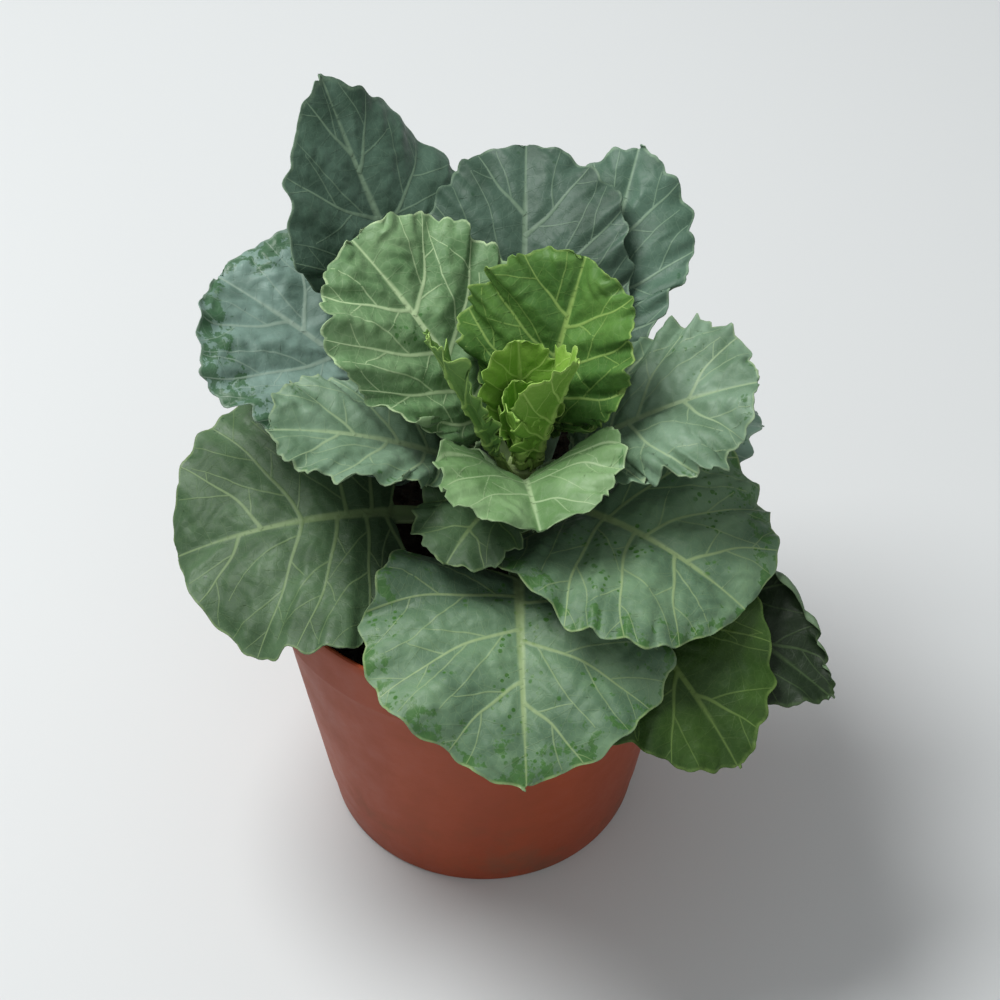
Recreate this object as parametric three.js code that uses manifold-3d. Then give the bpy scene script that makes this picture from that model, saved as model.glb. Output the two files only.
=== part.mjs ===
// Ornamental kale growing in a plastic nursery pot.
// Millimetres, +Z up. The origin is the centre of the pot's underside, and -Y is the plant's front.
// Pieces: the pot, the potting soil, the stem, one node for each leaf, and the heart of small folded leaves.

import * as THREE from "three";
import { mergeVertices } from "three/addons/utils/BufferGeometryUtils.js";
import Module from "manifold-3d";

const wasm = await Module();
wasm.setup();

const DEGREE = Math.PI / 180;
const GAP = 0.3; // clearance kept between neighbouring solids

// ---- Driving dimensions ----

const POT_HEIGHT = 114;
const POT_SIDES = 44;
const RIM_RADIUS = 65; // outside of the collar, at the top edge
const COLLAR_HEIGHT = 18; // the upright band round the pot's mouth
const COLLAR_STEP = 2.6; // how far the band stands out from the body below it
const BASE_RADIUS = 47;
const WALL = 1.6;
const FLOOR_THICKNESS = 2;
const DRAIN_HOLES = 8;
const DRAIN_HOLE_RADIUS = 4.5;
const DRAIN_RING_RADIUS = 34;

const SOIL_TOP = 103; // mean height of the soil, below the pot's top edge
const SOIL_BUMP = 1.6;

const STEM_SIDES = 14;
const STEM_FOOT = { x: 7, y: 1, z: 74 }; // its lowest point, in the soil
const STEM_TOP = { x: 12, y: 0, z: 139 }; // where the heart sits
const STEM_RADIUS = 5.6;

const BLADE_THICKNESS = 0.9;
const RIB_HALF_WIDTH = 3.2; // of the ridge that the midrib makes under the blade
const BLADE_SPAN = [0.02, 0.975]; // first and last cross-section, from the blade's base (0) to its tip (1)
const PETIOLE_ROWS = 3;
const LOBE_DEPTH = 0.05; // shallow lobes of the margin, as a share of the blade
const TOOTH_DEPTH = 0.9; // scalloped teeth on top of them
const VEIN_CROWDING = 1.8; // above 1, the side veins leave the midrib closer together at its base
const TIP_SHARPNESS = 8; // the higher, the nearer to the tip the side veins turn square to the midrib
const VEIN_BOW = 0.1; // how far the side veins arch, as a share of the blade

const BUD_RADIUS = 4.6; // the growing tip inside the heart
const BUD_STRETCH = 1.7; // its height over its width
const SLIVER = 0.02; // edges shorter than this are merged away where the heart's leaves fuse

// Each leaf, from the lowest on the stem to the highest. Lengths in mm, angles in degrees.
//   azimuth   where it points, seen from above: 0 is right (+X), 90 is back (+Y)
//   root      distance of its root from the stem's axis, and seat its height there
//   petiole, blade, width   the stalk, the blade along its midrib, and the blade across
//   rise      climb above the horizon at the root and at the tip
//   sweep     sideways turn of the midrib from root to tip
//   roll      turn of the blade round its midrib, at the root and at the tip
//   fold      angle at which the halves leave the midrib, at the root and at the tip
//   curl      how far the right and the left half have turned further by their margin, at the tip
//   wave      height of the margin's waves; waves and phase, how many a side and where they start
//   lobe      how far the blade's shoulders reach back past its root
//   base, tip outline towards the blade's base and tip: 0.5 is round, 1 tapers straight to a point
//   rows      cross-sections along the blade, two for each tooth of its margin
//   seed      sets where the margin's shallow lobes fall
const LEAVES = [
  {
    name: "leaf_01_low_right", azimuth: -34, root: 4, seat: 107, petiole: 36, blade: 70, width: 54,
    rise: [24, -25], sweep: 0, roll: [0, 8], fold: [4, 4], curl: [-30, 76],
    wave: 1.5, waves: 2, phase: 2.0, lobe: 0, base: 0.5, tip: 0.8, rows: 20, seed: 23,
  },
  {
    name: "leaf_02_low_front_right", azimuth: -53, root: 4, seat: 111, petiole: 34, blade: 70, width: 60,
    rise: [30, -40], sweep: 0, roll: [0, 16], fold: [8, 6], curl: [-10, -22],
    wave: 1.5, waves: 2.5, phase: 0.4, lobe: 0, base: 0.5, tip: 0.7, rows: 20, seed: 11,
  },
  {
    name: "leaf_03_low_back", azimuth: 109, root: 4, seat: 113, petiole: 34, blade: 62, width: 62,
    rise: [32, -26], sweep: 0, roll: [0, 0], fold: [14, 8], curl: [-10, -10],
    wave: 2.5, waves: 2.5, phase: 1.0, lobe: 0.1, base: 0.5, tip: 0.6, rows: 20, seed: 31,
  },
  {
    name: "leaf_04_low_back_left", azimuth: 149, root: 4, seat: 109, petiole: 28, blade: 52, width: 50,
    rise: [30, -24], sweep: 0, roll: [0, 0], fold: [12, 8], curl: [-10, -10],
    wave: 2.5, waves: 2.5, phase: 0.1, lobe: 0, base: 0.5, tip: 0.6, rows: 16, seed: 211,
  },
  {
    name: "leaf_05_low_back_right", azimuth: 34, root: 4, seat: 113, petiole: 28, blade: 54, width: 54,
    rise: [30, -24], sweep: 0, roll: [0, 0], fold: [12, 8], curl: [-10, -10],
    wave: 2.5, waves: 2.5, phase: 1.4, lobe: 0.1, base: 0.5, tip: 0.6, rows: 20, seed: 67,
  },
  {
    name: "leaf_06_front", azimuth: 270, root: 4, seat: 116, petiole: 28, blade: 67, width: 88,
    rise: [27, -36], sweep: 3, roll: [0, 0], fold: [8, 4], curl: [-24, -18],
    wave: 3.2, waves: 2.5, phase: 2.2, lobe: 0.3, base: 0.42, tip: 0.7, rows: 20, seed: 47,
  },
  {
    name: "leaf_07_left", azimuth: 189, root: 4, seat: 113, petiole: 34, blade: 64, width: 90,
    rise: [26, -24], sweep: 0, roll: [-6, -14], fold: [6, 4], curl: [-14, -14],
    wave: 3.2, waves: 2.5, phase: 0.2, lobe: 0.2, base: 0.45, tip: 0.55, rows: 20, seed: 53,
  },
  {
    name: "leaf_08_back_right", azimuth: 60, root: 4, seat: 119, petiole: 38, blade: 70, width: 48,
    rise: [46, 28], sweep: 14, roll: [0, 0], fold: [18, 10], curl: [-40, -60],
    wave: 2, waves: 2, phase: 0.5, lobe: 0, base: 0.6, tip: 0.6, rows: 20, seed: 71,
  },
  {
    name: "leaf_09_back_left", azimuth: 127, root: 4, seat: 122, petiole: 62, blade: 70, width: 70,
    rise: [38, 50], sweep: -5, roll: [0, 14], fold: [12, 8], curl: [-80, 0],
    wave: 2, waves: 2, phase: 1.9, lobe: 0, base: 0.6, tip: 1, rows: 20, seed: 83,
  },
  {
    name: "leaf_10_left_back", azimuth: 151, root: 4, seat: 117, petiole: 34, blade: 74, width: 76,
    rise: [42, 13], sweep: 0, roll: [0, -6], fold: [12, 8], curl: [-8, -8],
    wave: 3.6, waves: 2.5, phase: 0.8, lobe: 0.15, base: 0.5, tip: 0.5, rows: 20, seed: 97,
  },
  {
    name: "leaf_11_front_right", azimuth: -37, root: 4, seat: 123, petiole: 14, blade: 64, width: 80,
    rise: [32, -25], sweep: 0, roll: [0, 0], fold: [10, 8], curl: [-14, -40],
    wave: 3, waves: 2.5, phase: 1.2, lobe: 0.3, base: 0.5, tip: 0.5, rows: 20, seed: 101,
  },
  {
    name: "leaf_12_back", azimuth: 89, root: 4, seat: 126, petiole: 26, blade: 74, width: 62,
    rise: [57, 20], sweep: 0, roll: [0, 0], fold: [10, 6], curl: [-8, -8],
    wave: 1.6, waves: 2.5, phase: 2.6, lobe: 0, base: 0.6, tip: 0.55, rows: 20, seed: 113,
  },
  {
    name: "leaf_13_inner_front_left", azimuth: 242, root: 4, seat: 125, petiole: 8, blade: 37, width: 34,
    rise: [54, -16], sweep: 0, roll: [0, 0], fold: [16, 8], curl: [-10, -10],
    wave: 2, waves: 2, phase: 0.6, lobe: 0, base: 0.6, tip: 0.5, rows: 16, seed: 127,
  },
  {
    name: "leaf_14_inner_left", azimuth: 187, root: 4, seat: 129, petiole: 16, blade: 60, width: 44,
    rise: [46, 6], sweep: 0, roll: [0, 0], fold: [16, 10], curl: [-8, -8],
    wave: 2.8, waves: 2, phase: 1.1, lobe: 0, base: 0.7, tip: 0.5, rows: 16, seed: 131,
  },
  {
    name: "leaf_15_inner_right", azimuth: 1, root: 4, seat: 129, petiole: 14, blade: 62, width: 57,
    rise: [54, 14], sweep: 0, roll: [0, 0], fold: [14, 10], curl: [-40, -20],
    wave: 2, waves: 2.5, phase: 2.9, lobe: 0, base: 0.8, tip: 0.5, rows: 20, seed: 139,
  },
  {
    name: "leaf_16_inner_back_left", azimuth: 141, root: 4, seat: 132, petiole: 10, blade: 72, width: 64,
    rise: [60, 30], sweep: 0, roll: [0, 0], fold: [14, 8], curl: [-8, -8],
    wave: 2.1, waves: 3, phase: 0.9, lobe: 0, base: 0.8, tip: 0.5, rows: 20, seed: 149,
  },
  {
    name: "leaf_17_inner_front", azimuth: 272, root: 4, seat: 133.4, petiole: 6, blade: 37, width: 56,
    rise: [69, -10], sweep: 10, roll: [0, 0], fold: [31, 24], curl: [-10, -10],
    wave: 2, waves: 2, phase: 1.7, lobe: 0, base: 0.6, tip: 0.42, rows: 16, seed: 157,
  },
  {
    name: "leaf_18_inner_back", azimuth: 60, root: 4, seat: 137.3, petiole: 8, blade: 53, width: 56,
    rise: [66, 56], sweep: 0, roll: [0, 0], fold: [18, 12], curl: [24, 16],
    wave: 1.6, waves: 3, phase: 0.3, lobe: 0, base: 0.66, tip: 0.5, rows: 20, seed: 163,
  },
  {
    name: "leaf_19_heart_left", azimuth: 185, root: 4, seat: 138, petiole: 6, blade: 52, width: 20,
    rise: [69, 68], sweep: 0, roll: [18, 24], fold: [10, 10], curl: [10, 26],
    wave: 1.2, waves: 3, phase: 0.7, lobe: 0, base: 0.8, tip: 0.6, rows: 16, seed: 173,
  },
];

// The heart's own leaves, folded round the growing tip.
const HEART_LEAVES = [
  {
    azimuth: 100, root: 2.4, seat: 141, petiole: 3, blade: 34, width: 25,
    rise: [80, 74], sweep: 0, roll: [0, 0], fold: [26, 16], curl: [10, 10],
    wave: 1, waves: 3, phase: 0.2, lobe: 0, base: 0.7, tip: 0.45, rows: 14, seed: 191,
  },
  {
    azimuth: -20, root: 2.4, seat: 140, petiole: 3, blade: 44, width: 24,
    rise: [80, 68], sweep: 0, roll: [0, 0], fold: [30, 26], curl: [70, 0],
    wave: 1, waves: 3, phase: 1.2, lobe: 0, base: 0.7, tip: 0.6, rows: 14, seed: 197,
  },
  {
    azimuth: 255, root: 2.4, seat: 141, petiole: 3, blade: 20, width: 18,
    rise: [80, 80], sweep: 0, roll: [0, 0], fold: [34, 30], curl: [16, 16],
    wave: 1, waves: 3, phase: 2.2, lobe: 0, base: 0.7, tip: 0.5, rows: 12, seed: 199,
  },
];

const POT_COLOUR = 0xa64a2c;
const SOIL_COLOUR = 0x2b211b;
const STEM_COLOUR = 0x8fa468;
const OUTER_LEAF_COLOUR = 0x5f7f6c;
const INNER_LEAF_COLOUR = 0x5f8550;
const HEART_COLOUR = 0x5a8f22;

// ---- Solids ----

function solidOf(geometry) {
  const bare = geometry.clone();
  bare.deleteAttribute("normal");
  bare.deleteAttribute("uv");
  const merged = mergeVertices(bare, 1e-4);
  return new wasm.Manifold(
    new wasm.Mesh({
      numProp: 3,
      vertProperties: merged.attributes.position.array,
      triVerts: new Uint32Array(merged.index.array),
    }),
  );
}

function geometryOf(solid) {
  const mesh = solid.getMesh();
  const geometry = new THREE.BufferGeometry();
  geometry.setAttribute("position", new THREE.BufferAttribute(mesh.vertProperties, 3));
  geometry.setIndex(new THREE.BufferAttribute(mesh.triVerts, 1));
  geometry.computeVertexNormals();
  return geometry;
}

// A closed skin through rings of points, each ring in the same order, with its two ends capped.
// Each ring runs out along the upper side and back along the lower one, and both sides split alike.
function loft(rings) {
  const perRing = rings[0].length;
  const half = perRing / 2;
  const points = rings.flat();
  const faces = [];
  const vertex = (ring, place) => ring * perRing + (place % perRing);
  for (let ring = 0; ring + 1 < rings.length; ring++) {
    for (let place = 0; place < perRing; place++) {
      const here = vertex(ring, place);
      const beside = vertex(ring, place + 1);
      const ahead = vertex(ring + 1, place);
      const across = vertex(ring + 1, place + 1);
      if (place < half) faces.push(here, across, beside, here, ahead, across);
      else faces.push(here, ahead, beside, beside, ahead, across);
    }
  }
  for (const end of [0, rings.length - 1]) {
    for (let place = 0; place + 1 < half; place++) {
      const upper = vertex(end, place);
      const nextUpper = vertex(end, place + 1);
      const nextLower = vertex(end, perRing - 2 - place);
      const lower = vertex(end, perRing - 1 - place);
      if (end === 0) faces.push(upper, nextUpper, nextLower, upper, nextLower, lower);
      else faces.push(upper, nextLower, nextUpper, upper, lower, nextLower);
    }
  }
  const geometry = new THREE.BufferGeometry();
  const coordinates = new Float32Array(points.flatMap((point) => point.toArray()));
  geometry.setAttribute("position", new THREE.BufferAttribute(coordinates, 3));
  geometry.setIndex(faces);
  return geometry;
}

// ---- Pot and soil ----

// The pot's inner wall from the floor to the top edge, drawn in by inset.
function innerWall(inset) {
  const collarFoot = POT_HEIGHT - COLLAR_HEIGHT;
  const bodyTop = RIM_RADIUS - 1 - COLLAR_STEP;
  return [
    [BASE_RADIUS - WALL - inset, FLOOR_THICKNESS + inset],
    [bodyTop - WALL - inset, collarFoot],
    [RIM_RADIUS - 0.7 - WALL - inset, collarFoot + WALL + inset],
    [RIM_RADIUS - WALL - inset, POT_HEIGHT - 0.6],
  ];
}

function pot() {
  const collarFoot = POT_HEIGHT - COLLAR_HEIGHT;
  const bodyTop = RIM_RADIUS - 1 - COLLAR_STEP;
  const outline = [
    [0, 0],
    [BASE_RADIUS - 2, 0],
    [BASE_RADIUS, 1.6],
    [bodyTop, collarFoot - 0.8],
    [RIM_RADIUS - 1, collarFoot],
    [RIM_RADIUS - 0.2, POT_HEIGHT - 1],
    [RIM_RADIUS - 0.8, POT_HEIGHT],
    ...innerWall(0).reverse(),
    [0, FLOOR_THICKNESS],
  ].map(([radius, height]) => new THREE.Vector2(radius, height));
  let solid = solidOf(new THREE.LatheGeometry(outline, POT_SIDES).rotateX(Math.PI / 2));
  for (let hole = 0; hole < DRAIN_HOLES; hole++) {
    const angle = (hole * 2 * Math.PI) / DRAIN_HOLES;
    const drill = new THREE.CylinderGeometry(DRAIN_HOLE_RADIUS, DRAIN_HOLE_RADIUS, 10, 12);
    drill.rotateX(Math.PI / 2);
    drill.translate(DRAIN_RING_RADIUS * Math.cos(angle), DRAIN_RING_RADIUS * Math.sin(angle), 0);
    solid = solid.subtract(solidOf(drill));
  }
  return geometryOf(solid);
}

// Height of the soil's crumbly surface over its mean.
function soilBump(x, y) {
  const crumb = Math.sin(x * 0.21 + 1.3) * Math.cos(y * 0.17 - 0.4);
  const clod = Math.sin(x * 0.47 - y * 0.39) * Math.cos(y * 0.53 + x * 0.2 + 2);
  return SOIL_BUMP * (0.6 * crumb + 0.5 * clod);
}

function soil() {
  const wall = innerWall(2 * GAP);
  const edge = RIM_RADIUS - 0.4 - WALL - 2 * GAP;
  const topRadii = [edge, 50, 38, 26, 14];
  const outline = [
    [0, FLOOR_THICKNESS + GAP],
    ...wall.slice(0, 3),
    ...topRadii.map((radius) => [radius, SOIL_TOP]),
    [0, SOIL_TOP],
  ].map(([radius, height]) => new THREE.Vector2(radius, height));
  const body = new THREE.LatheGeometry(outline, POT_SIDES).rotateX(Math.PI / 2);
  const position = body.attributes.position;
  for (let i = 0; i < position.count; i++) {
    if (position.getZ(i) > SOIL_TOP - 0.01) {
      position.setZ(i, SOIL_TOP + soilBump(position.getX(i), position.getY(i)));
    }
  }
  return geometryOf(solidOf(body).subtract(stemSolid(GAP)));
}

// ---- Stem ----

function stemAxis(height) {
  const share = (height - STEM_FOOT.z) / (STEM_TOP.z - STEM_FOOT.z);
  return new THREE.Vector3(
    STEM_FOOT.x + (STEM_TOP.x - STEM_FOOT.x) * share,
    STEM_FOOT.y + (STEM_TOP.y - STEM_FOOT.y) * share,
    height,
  );
}

// The stem is thinnest at its foot, swells a little at the soil, and narrows towards the heart.
function stemSolid(grown) {
  const girths = [
    [0, 0.7],
    [0.3, 0.85],
    [0.45, 1.08],
    [0.6, 1],
    [0.85, 0.95],
    [1, 0.8],
  ];
  const rings = girths.map(([share, girth]) => {
    const height = STEM_FOOT.z + share * (STEM_TOP.z - STEM_FOOT.z);
    let beyond = 0;
    if (share === 0) beyond = -grown;
    if (share === 1) beyond = grown;
    const centre = stemAxis(height + beyond);
    return Array.from({ length: STEM_SIDES }, (_, side) => {
      const angle = (-side * 2 * Math.PI) / STEM_SIDES;
      const radius = STEM_RADIUS * girth + grown;
      return new THREE.Vector3(Math.cos(angle), Math.sin(angle), 0).multiplyScalar(radius).add(centre);
    });
  });
  return solidOf(loft(rings));
}

// ---- Leaves ----

// A leaf's midrib from its root on the stem to its tip, as a function of the distance x from the
// blade's base (negative along the petiole). It gives the point there and the leaf's own axes.
function midribOf(leaf) {
  const steps = 64;
  const length = leaf.petiole + leaf.blade;
  const heading = leaf.azimuth * DEGREE;
  const point = stemAxis(leaf.seat);
  point.x += leaf.root * Math.cos(heading);
  point.y += leaf.root * Math.sin(heading);
  const stations = [];
  for (let step = 0; step <= steps; step++) {
    const share = step / steps;
    const climb = (leaf.rise[0] + (leaf.rise[1] - leaf.rise[0]) * share) * DEGREE;
    const turn = heading + leaf.sweep * share * DEGREE;
    const roll = (leaf.roll[0] + (leaf.roll[1] - leaf.roll[0]) * share) * DEGREE;
    const along = new THREE.Vector3(
      Math.cos(climb) * Math.cos(turn),
      Math.cos(climb) * Math.sin(turn),
      Math.sin(climb),
    );
    const across = new THREE.Vector3(-Math.sin(turn), Math.cos(turn), 0).applyAxisAngle(along, roll);
    const up = along.clone().cross(across);
    stations.push({ point: point.clone(), across, up });
    point.addScaledVector(along, length / steps);
  }
  return (x) => {
    const place = Math.min(Math.max(((x + leaf.petiole) / length) * steps, 0), steps - 1e-6);
    const index = Math.floor(place);
    const mixed = {};
    for (const key of ["point", "across", "up"]) {
      mixed[key] = stations[index][key].clone().lerp(stations[index + 1][key], place - index);
    }
    return mixed;
  };
}

// The blade's outline as if pressed flat: x along the midrib and y across it, for q from the
// base (0) to the tip (1).
function marginOf(leaf, q, side) {
  const turn = Math.PI * q;
  const shoulder = q < 0.5 ? (leaf.lobe * Math.sin(2 * turn)) / 2 : 0;
  const taper = (at) => Math.sin(at / 2) ** (2 * leaf.base) * Math.cos(at / 2) ** (2 * leaf.tip);
  const widest = 2 * Math.atan(Math.sqrt(leaf.base / leaf.tip));
  const x = leaf.blade * ((1 - Math.cos(turn)) / 2 - shoulder);
  const y = ((leaf.width / 2) * taper(turn)) / taper(widest);
  const start = leaf.seed + (side > 0 ? 0 : 2.4);
  const lobes = LOBE_DEPTH * (0.6 * Math.sin(5 * turn + start) + 0.4 * Math.sin(9 * turn + 1.7 * start));
  const [first, last] = BLADE_SPAN;
  const tooth = Math.cos((Math.PI * leaf.rows * (q - first)) / (last - first));
  const depth = (TOOTH_DEPTH * (1 + 0.5 * Math.sin(7 * turn + start))) / (leaf.width / 2);
  const swell = 1 + (lobes + depth * tooth) * Math.sin(turn) ** 0.7;
  const middle = leaf.blade / 2;
  return [middle + (x - middle) * swell, y * swell];
}

// How far along the midrib the side vein q leaves it. Towards the tip the veins turn square to it.
function veinRoot(leaf, q) {
  const crowded = q ** VEIN_CROWDING;
  const square = (1 - Math.cos(Math.PI * q)) / 2;
  return leaf.blade * THREE.MathUtils.lerp(crowded, square, q ** TIP_SHARPNESS);
}

// A point of the flat blade. t runs along a side vein, from -1 at the right margin through 0 at
// the midrib to 1 at the left margin.
function flatPoint(leaf, q, t) {
  const root = veinRoot(leaf, q);
  const [marginX, marginY] = marginOf(leaf, q, Math.sign(t) || 1);
  const out = Math.abs(t);
  const bow = VEIN_BOW * leaf.blade * out * (1 - out) * Math.sin(Math.PI * q);
  return [root + (marginX - root) * out - bow, t * marginY];
}

// The flat point bent into place: the midrib's arch, the fold along it, the curl of each half
// and the waves of the margin.
function bladePoint(leaf, midrib, q, t) {
  const [x, y] = flatPoint(leaf, q, t);
  const { point, across, up } = midrib(x);
  const share = Math.min(Math.max(x / leaf.blade, 0), 1);
  const fold = (leaf.fold[0] + (leaf.fold[1] - leaf.fold[0]) * share) * DEGREE;
  const curl = (t < 0 ? leaf.curl[0] : leaf.curl[1]) * share * DEGREE || 1e-3;
  const turnPerMm = curl / (leaf.width / 2);
  const end = fold + turnPerMm * Math.abs(y);
  const reach = (Math.sin(end) - Math.sin(fold)) / turnPerMm;
  const lift = (Math.cos(fold) - Math.cos(end)) / turnPerMm;
  const phase = 2 * Math.PI * leaf.waves * q + leaf.phase + (t < 0 ? 1.9 : 0);
  const wave = leaf.wave * t * t * Math.sin(Math.PI * q) ** 0.5 * Math.sin(phase);
  return point
    .clone()
    .addScaledVector(across, Math.sign(t) * reach)
    .addScaledVector(up, lift + wave);
}

// How deep the midrib's ridge reaches below the blade, x mm from the blade's base.
function ribDepth(leaf, x) {
  const full = 0.6 + leaf.blade * 0.024;
  return x < 0 ? full : full * (1 - (0.85 * x) / leaf.blade);
}

// The petiole is flat above and rounded below. Each of its rows holds seven points of the upper
// face and the leaf's depth below each.
function petioleRow(leaf, midrib, x) {
  const halfWidth = 1.4 + leaf.blade * 0.018;
  const { point, across } = midrib(x);
  const places = [-1, -0.7, -0.4, 0, 0.4, 0.7, 1];
  return {
    upper: places.map((t) => point.clone().addScaledVector(across, t * halfWidth)),
    depths: places.map((t) => 0.7 + ribDepth(leaf, x) * Math.sqrt(1 - (t * 0.92) ** 2)),
  };
}

function bladeRow(leaf, midrib, q) {
  const rib = Math.min(RIB_HALF_WIDTH / marginOf(leaf, q, 1)[1], 0.4);
  const places = [-1, -0.58, -rib, 0, rib, 0.58, 1];
  const ridge = ribDepth(leaf, veinRoot(leaf, q));
  return {
    upper: places.map((t) => bladePoint(leaf, midrib, q, t)),
    depths: places.map((t) => BLADE_THICKNESS + (t === 0 ? ridge : 0)),
  };
}

// One ring for each row: its upper face, then its lower face back, which lies square below the
// upper one by each place's own depth.
function leafGeometry(leaf) {
  const midrib = midribOf(leaf);
  const rows = [];
  for (let row = 0; row < PETIOLE_ROWS; row++) {
    rows.push(petioleRow(leaf, midrib, -leaf.petiole * (1 - row / PETIOLE_ROWS)));
  }
  for (let row = 0; row <= leaf.rows; row++) {
    const q = THREE.MathUtils.lerp(BLADE_SPAN[0], BLADE_SPAN[1], row / leaf.rows);
    rows.push(bladeRow(leaf, midrib, q));
  }
  const rings = rows.map(({ upper, depths }, index) => {
    const before = rows[Math.max(index - 1, 0)].upper;
    const after = rows[Math.min(index + 1, rows.length - 1)].upper;
    const lower = upper.map((point, place) => {
      const forward = after[place].clone().sub(before[place]);
      const leftward = upper[Math.min(place + 1, upper.length - 1)].clone();
      leftward.sub(upper[Math.max(place - 1, 0)]);
      const down = leftward.cross(forward).normalize();
      return point.clone().addScaledVector(down, depths[place]);
    });
    return [...upper, ...lower.reverse()];
  });
  return loft(rings);
}

// What remains of a solid outside the stem and the clearance round it, without loose crumbs.
function clearOfStem(solid) {
  const bodies = solid.subtract(stemSolid(GAP)).decompose();
  bodies.sort((first, second) => second.volume() - first.volume());
  return bodies[0];
}

// ---- Heart ----

// The bud stands on the stem's end, and the heart's leaves are fused to it at their roots.
function heartSolid() {
  const bud = new THREE.SphereGeometry(BUD_RADIUS, 12, 8).scale(1, 1, BUD_STRETCH);
  bud.translate(STEM_TOP.x, STEM_TOP.y, STEM_TOP.z + GAP + BUD_RADIUS * BUD_STRETCH);
  let solid = solidOf(bud);
  for (const leaf of HEART_LEAVES) {
    solid = solid.add(solidOf(leafGeometry(leaf)));
  }
  return clearOfStem(solid).simplify(SLIVER);
}

// ---- The plant in its pot ----

function leafColour(leaf) {
  if (leaf.name.includes("heart")) return HEART_COLOUR;
  if (leaf.name.includes("inner")) return INNER_LEAF_COLOUR;
  return OUTER_LEAF_COLOUR;
}

const kale = new THREE.Group();

function place(name, geometry, color, roughness) {
  const material = new THREE.MeshStandardMaterial({ color, roughness, metalness: 0 });
  const mesh = new THREE.Mesh(geometry, material);
  mesh.name = name;
  kale.add(mesh);
}

place("pot", pot(), POT_COLOUR, 0.5);
place("soil", soil(), SOIL_COLOUR, 0.95);
place("stem", geometryOf(stemSolid(0)), STEM_COLOUR, 0.6);
for (const leaf of LEAVES) {
  const blade = clearOfStem(solidOf(leafGeometry(leaf)));
  place(leaf.name, geometryOf(blade), leafColour(leaf), 0.55);
}
place("heart", geometryOf(heartSolid()), HEART_COLOUR, 0.5);

export default kale;
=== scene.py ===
"""Ornamental kale in its nursery pot: veined leaves, a crumbly soil and a moulded plastic pot."""

import math

import bpy
import bmesh
import numpy as np
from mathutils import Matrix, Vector, noise
from mathutils.bvhtree import BVHTree
from mathutils.geometry import barycentric_transform


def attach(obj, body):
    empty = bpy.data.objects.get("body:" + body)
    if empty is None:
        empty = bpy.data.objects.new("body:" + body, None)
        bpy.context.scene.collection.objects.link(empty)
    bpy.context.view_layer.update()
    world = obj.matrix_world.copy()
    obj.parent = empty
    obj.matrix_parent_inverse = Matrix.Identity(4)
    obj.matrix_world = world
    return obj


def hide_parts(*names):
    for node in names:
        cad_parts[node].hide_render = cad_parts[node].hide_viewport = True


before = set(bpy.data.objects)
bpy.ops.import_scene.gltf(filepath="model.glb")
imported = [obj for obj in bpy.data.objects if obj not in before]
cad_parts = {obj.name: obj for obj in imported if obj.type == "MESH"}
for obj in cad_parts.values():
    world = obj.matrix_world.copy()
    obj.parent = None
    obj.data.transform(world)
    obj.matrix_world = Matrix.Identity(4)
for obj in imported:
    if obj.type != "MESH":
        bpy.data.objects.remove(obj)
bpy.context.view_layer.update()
bpy.ops.object.select_all(action="DESELECT")

MM = 0.001

# ---- The plant's sizes, in mm and degrees, the same as the frame's ----

GAP = 0.3
POT_HEIGHT, RIM_RADIUS, BASE_RADIUS, WALL, FLOOR = 114, 65, 47, 1.6, 2
COLLAR_HEIGHT, COLLAR_STEP = 18, 2.6
COLLAR_FOOT, BODY_RADIUS = POT_HEIGHT - COLLAR_HEIGHT, RIM_RADIUS - 1 - COLLAR_STEP
DRAIN_HOLES, DRAIN_HOLE_RADIUS, DRAIN_RING_RADIUS = 8, 4.5, 34
SOIL_TOP = 103
STEM_FOOT, STEM_TOP, STEM_RADIUS = (7, 1, 74), (12, 0, 139), 5.6
PETIOLE_HALF, PETIOLE_GROWTH = 1.4, 0.018  # half its width in mm, and more for each mm of blade
LOBE_DEPTH, TOOTH_DEPTH = 0.05, 0.9  # as a share of the half width, and in mm
BLADE_SPAN = (0.02, 0.975)  # where along the margin the teeth begin and end
VEIN_CROWDING, TIP_SHARPNESS, VEIN_BOW = 1.8, 8, 0.1  # how the mesh's rows follow the side veins

# ---- What the scene adds to the frame's forms ----

BLADE_THICKNESS = 0.5  # a real blade, thinner than the frame's solid
EDGE_THICKNESS, PETIOLE_THICKNESS = 0.3, 0.7
CELL_ALONG, CELL_ACROSS, STALK_CELL = 0.62, 1.1, 1.6  # sizes of the mesh's cells
JOIN_SHARE, TOOTH_START = 0.14, 0.16  # over what share of the margin the waves and teeth set in
# The outer share of a half blade that bends up as a lip, and over what share of the margin it
# sets in.
LIP_SHARE, LIP_ONSET = 0.28, 0.35
# Painted shade: each blade is darkened towards its foot, where the leaves above shade it.
FOOT_SHADE, FOOT_SHARE = 0.76, 0.4  # how dark a blade is at its base, and how far up that reaches
PANEL_REACH, NET_REACH = 5, 2  # how far from a vein the swelling blade levels off
RIB_RISE, CHANNEL_DEPTH = 0.35, 0.45  # of the midrib over the blade, and of the petiole's groove

VEIN_FORWARD = 2.1  # how far down the midrib the side veins start from where they end
VEIN_MARGIN, VEIN_JOIN, VEIN_WANDER = 1.1, 0.9, 0.05  # where a vein stops, and how it strays
MIDDLING_BLADE = 66  # the length of blade for which the veins' widths and lengths hold
# The branches on the side veins, then the cross veins that join those: level, mm from one to the
# next, angle in radians, bend, greatest length, half width and how strongly they show.
BRANCHES = (
    (2, 7, 0.75, 0.05, 30, 0.24, 0.62),
    (3, 3.4, 1.25, 0, 8, 0.12, 0.2),
)
# Across a vein's ribbon: place in half widths, how strongly it shows, and height.
VEIN_SECTION = ((-1.7, 0, -0.1), (-0.6, 1, 0.8), (0.6, 1, 0.8), (1.7, 0, -0.1))
UPPER_LIFT, LOWER_LIFT, RIBBON_GAP = 0.3, 0.6, 0.02  # how far the ribbons stand off the skin

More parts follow.
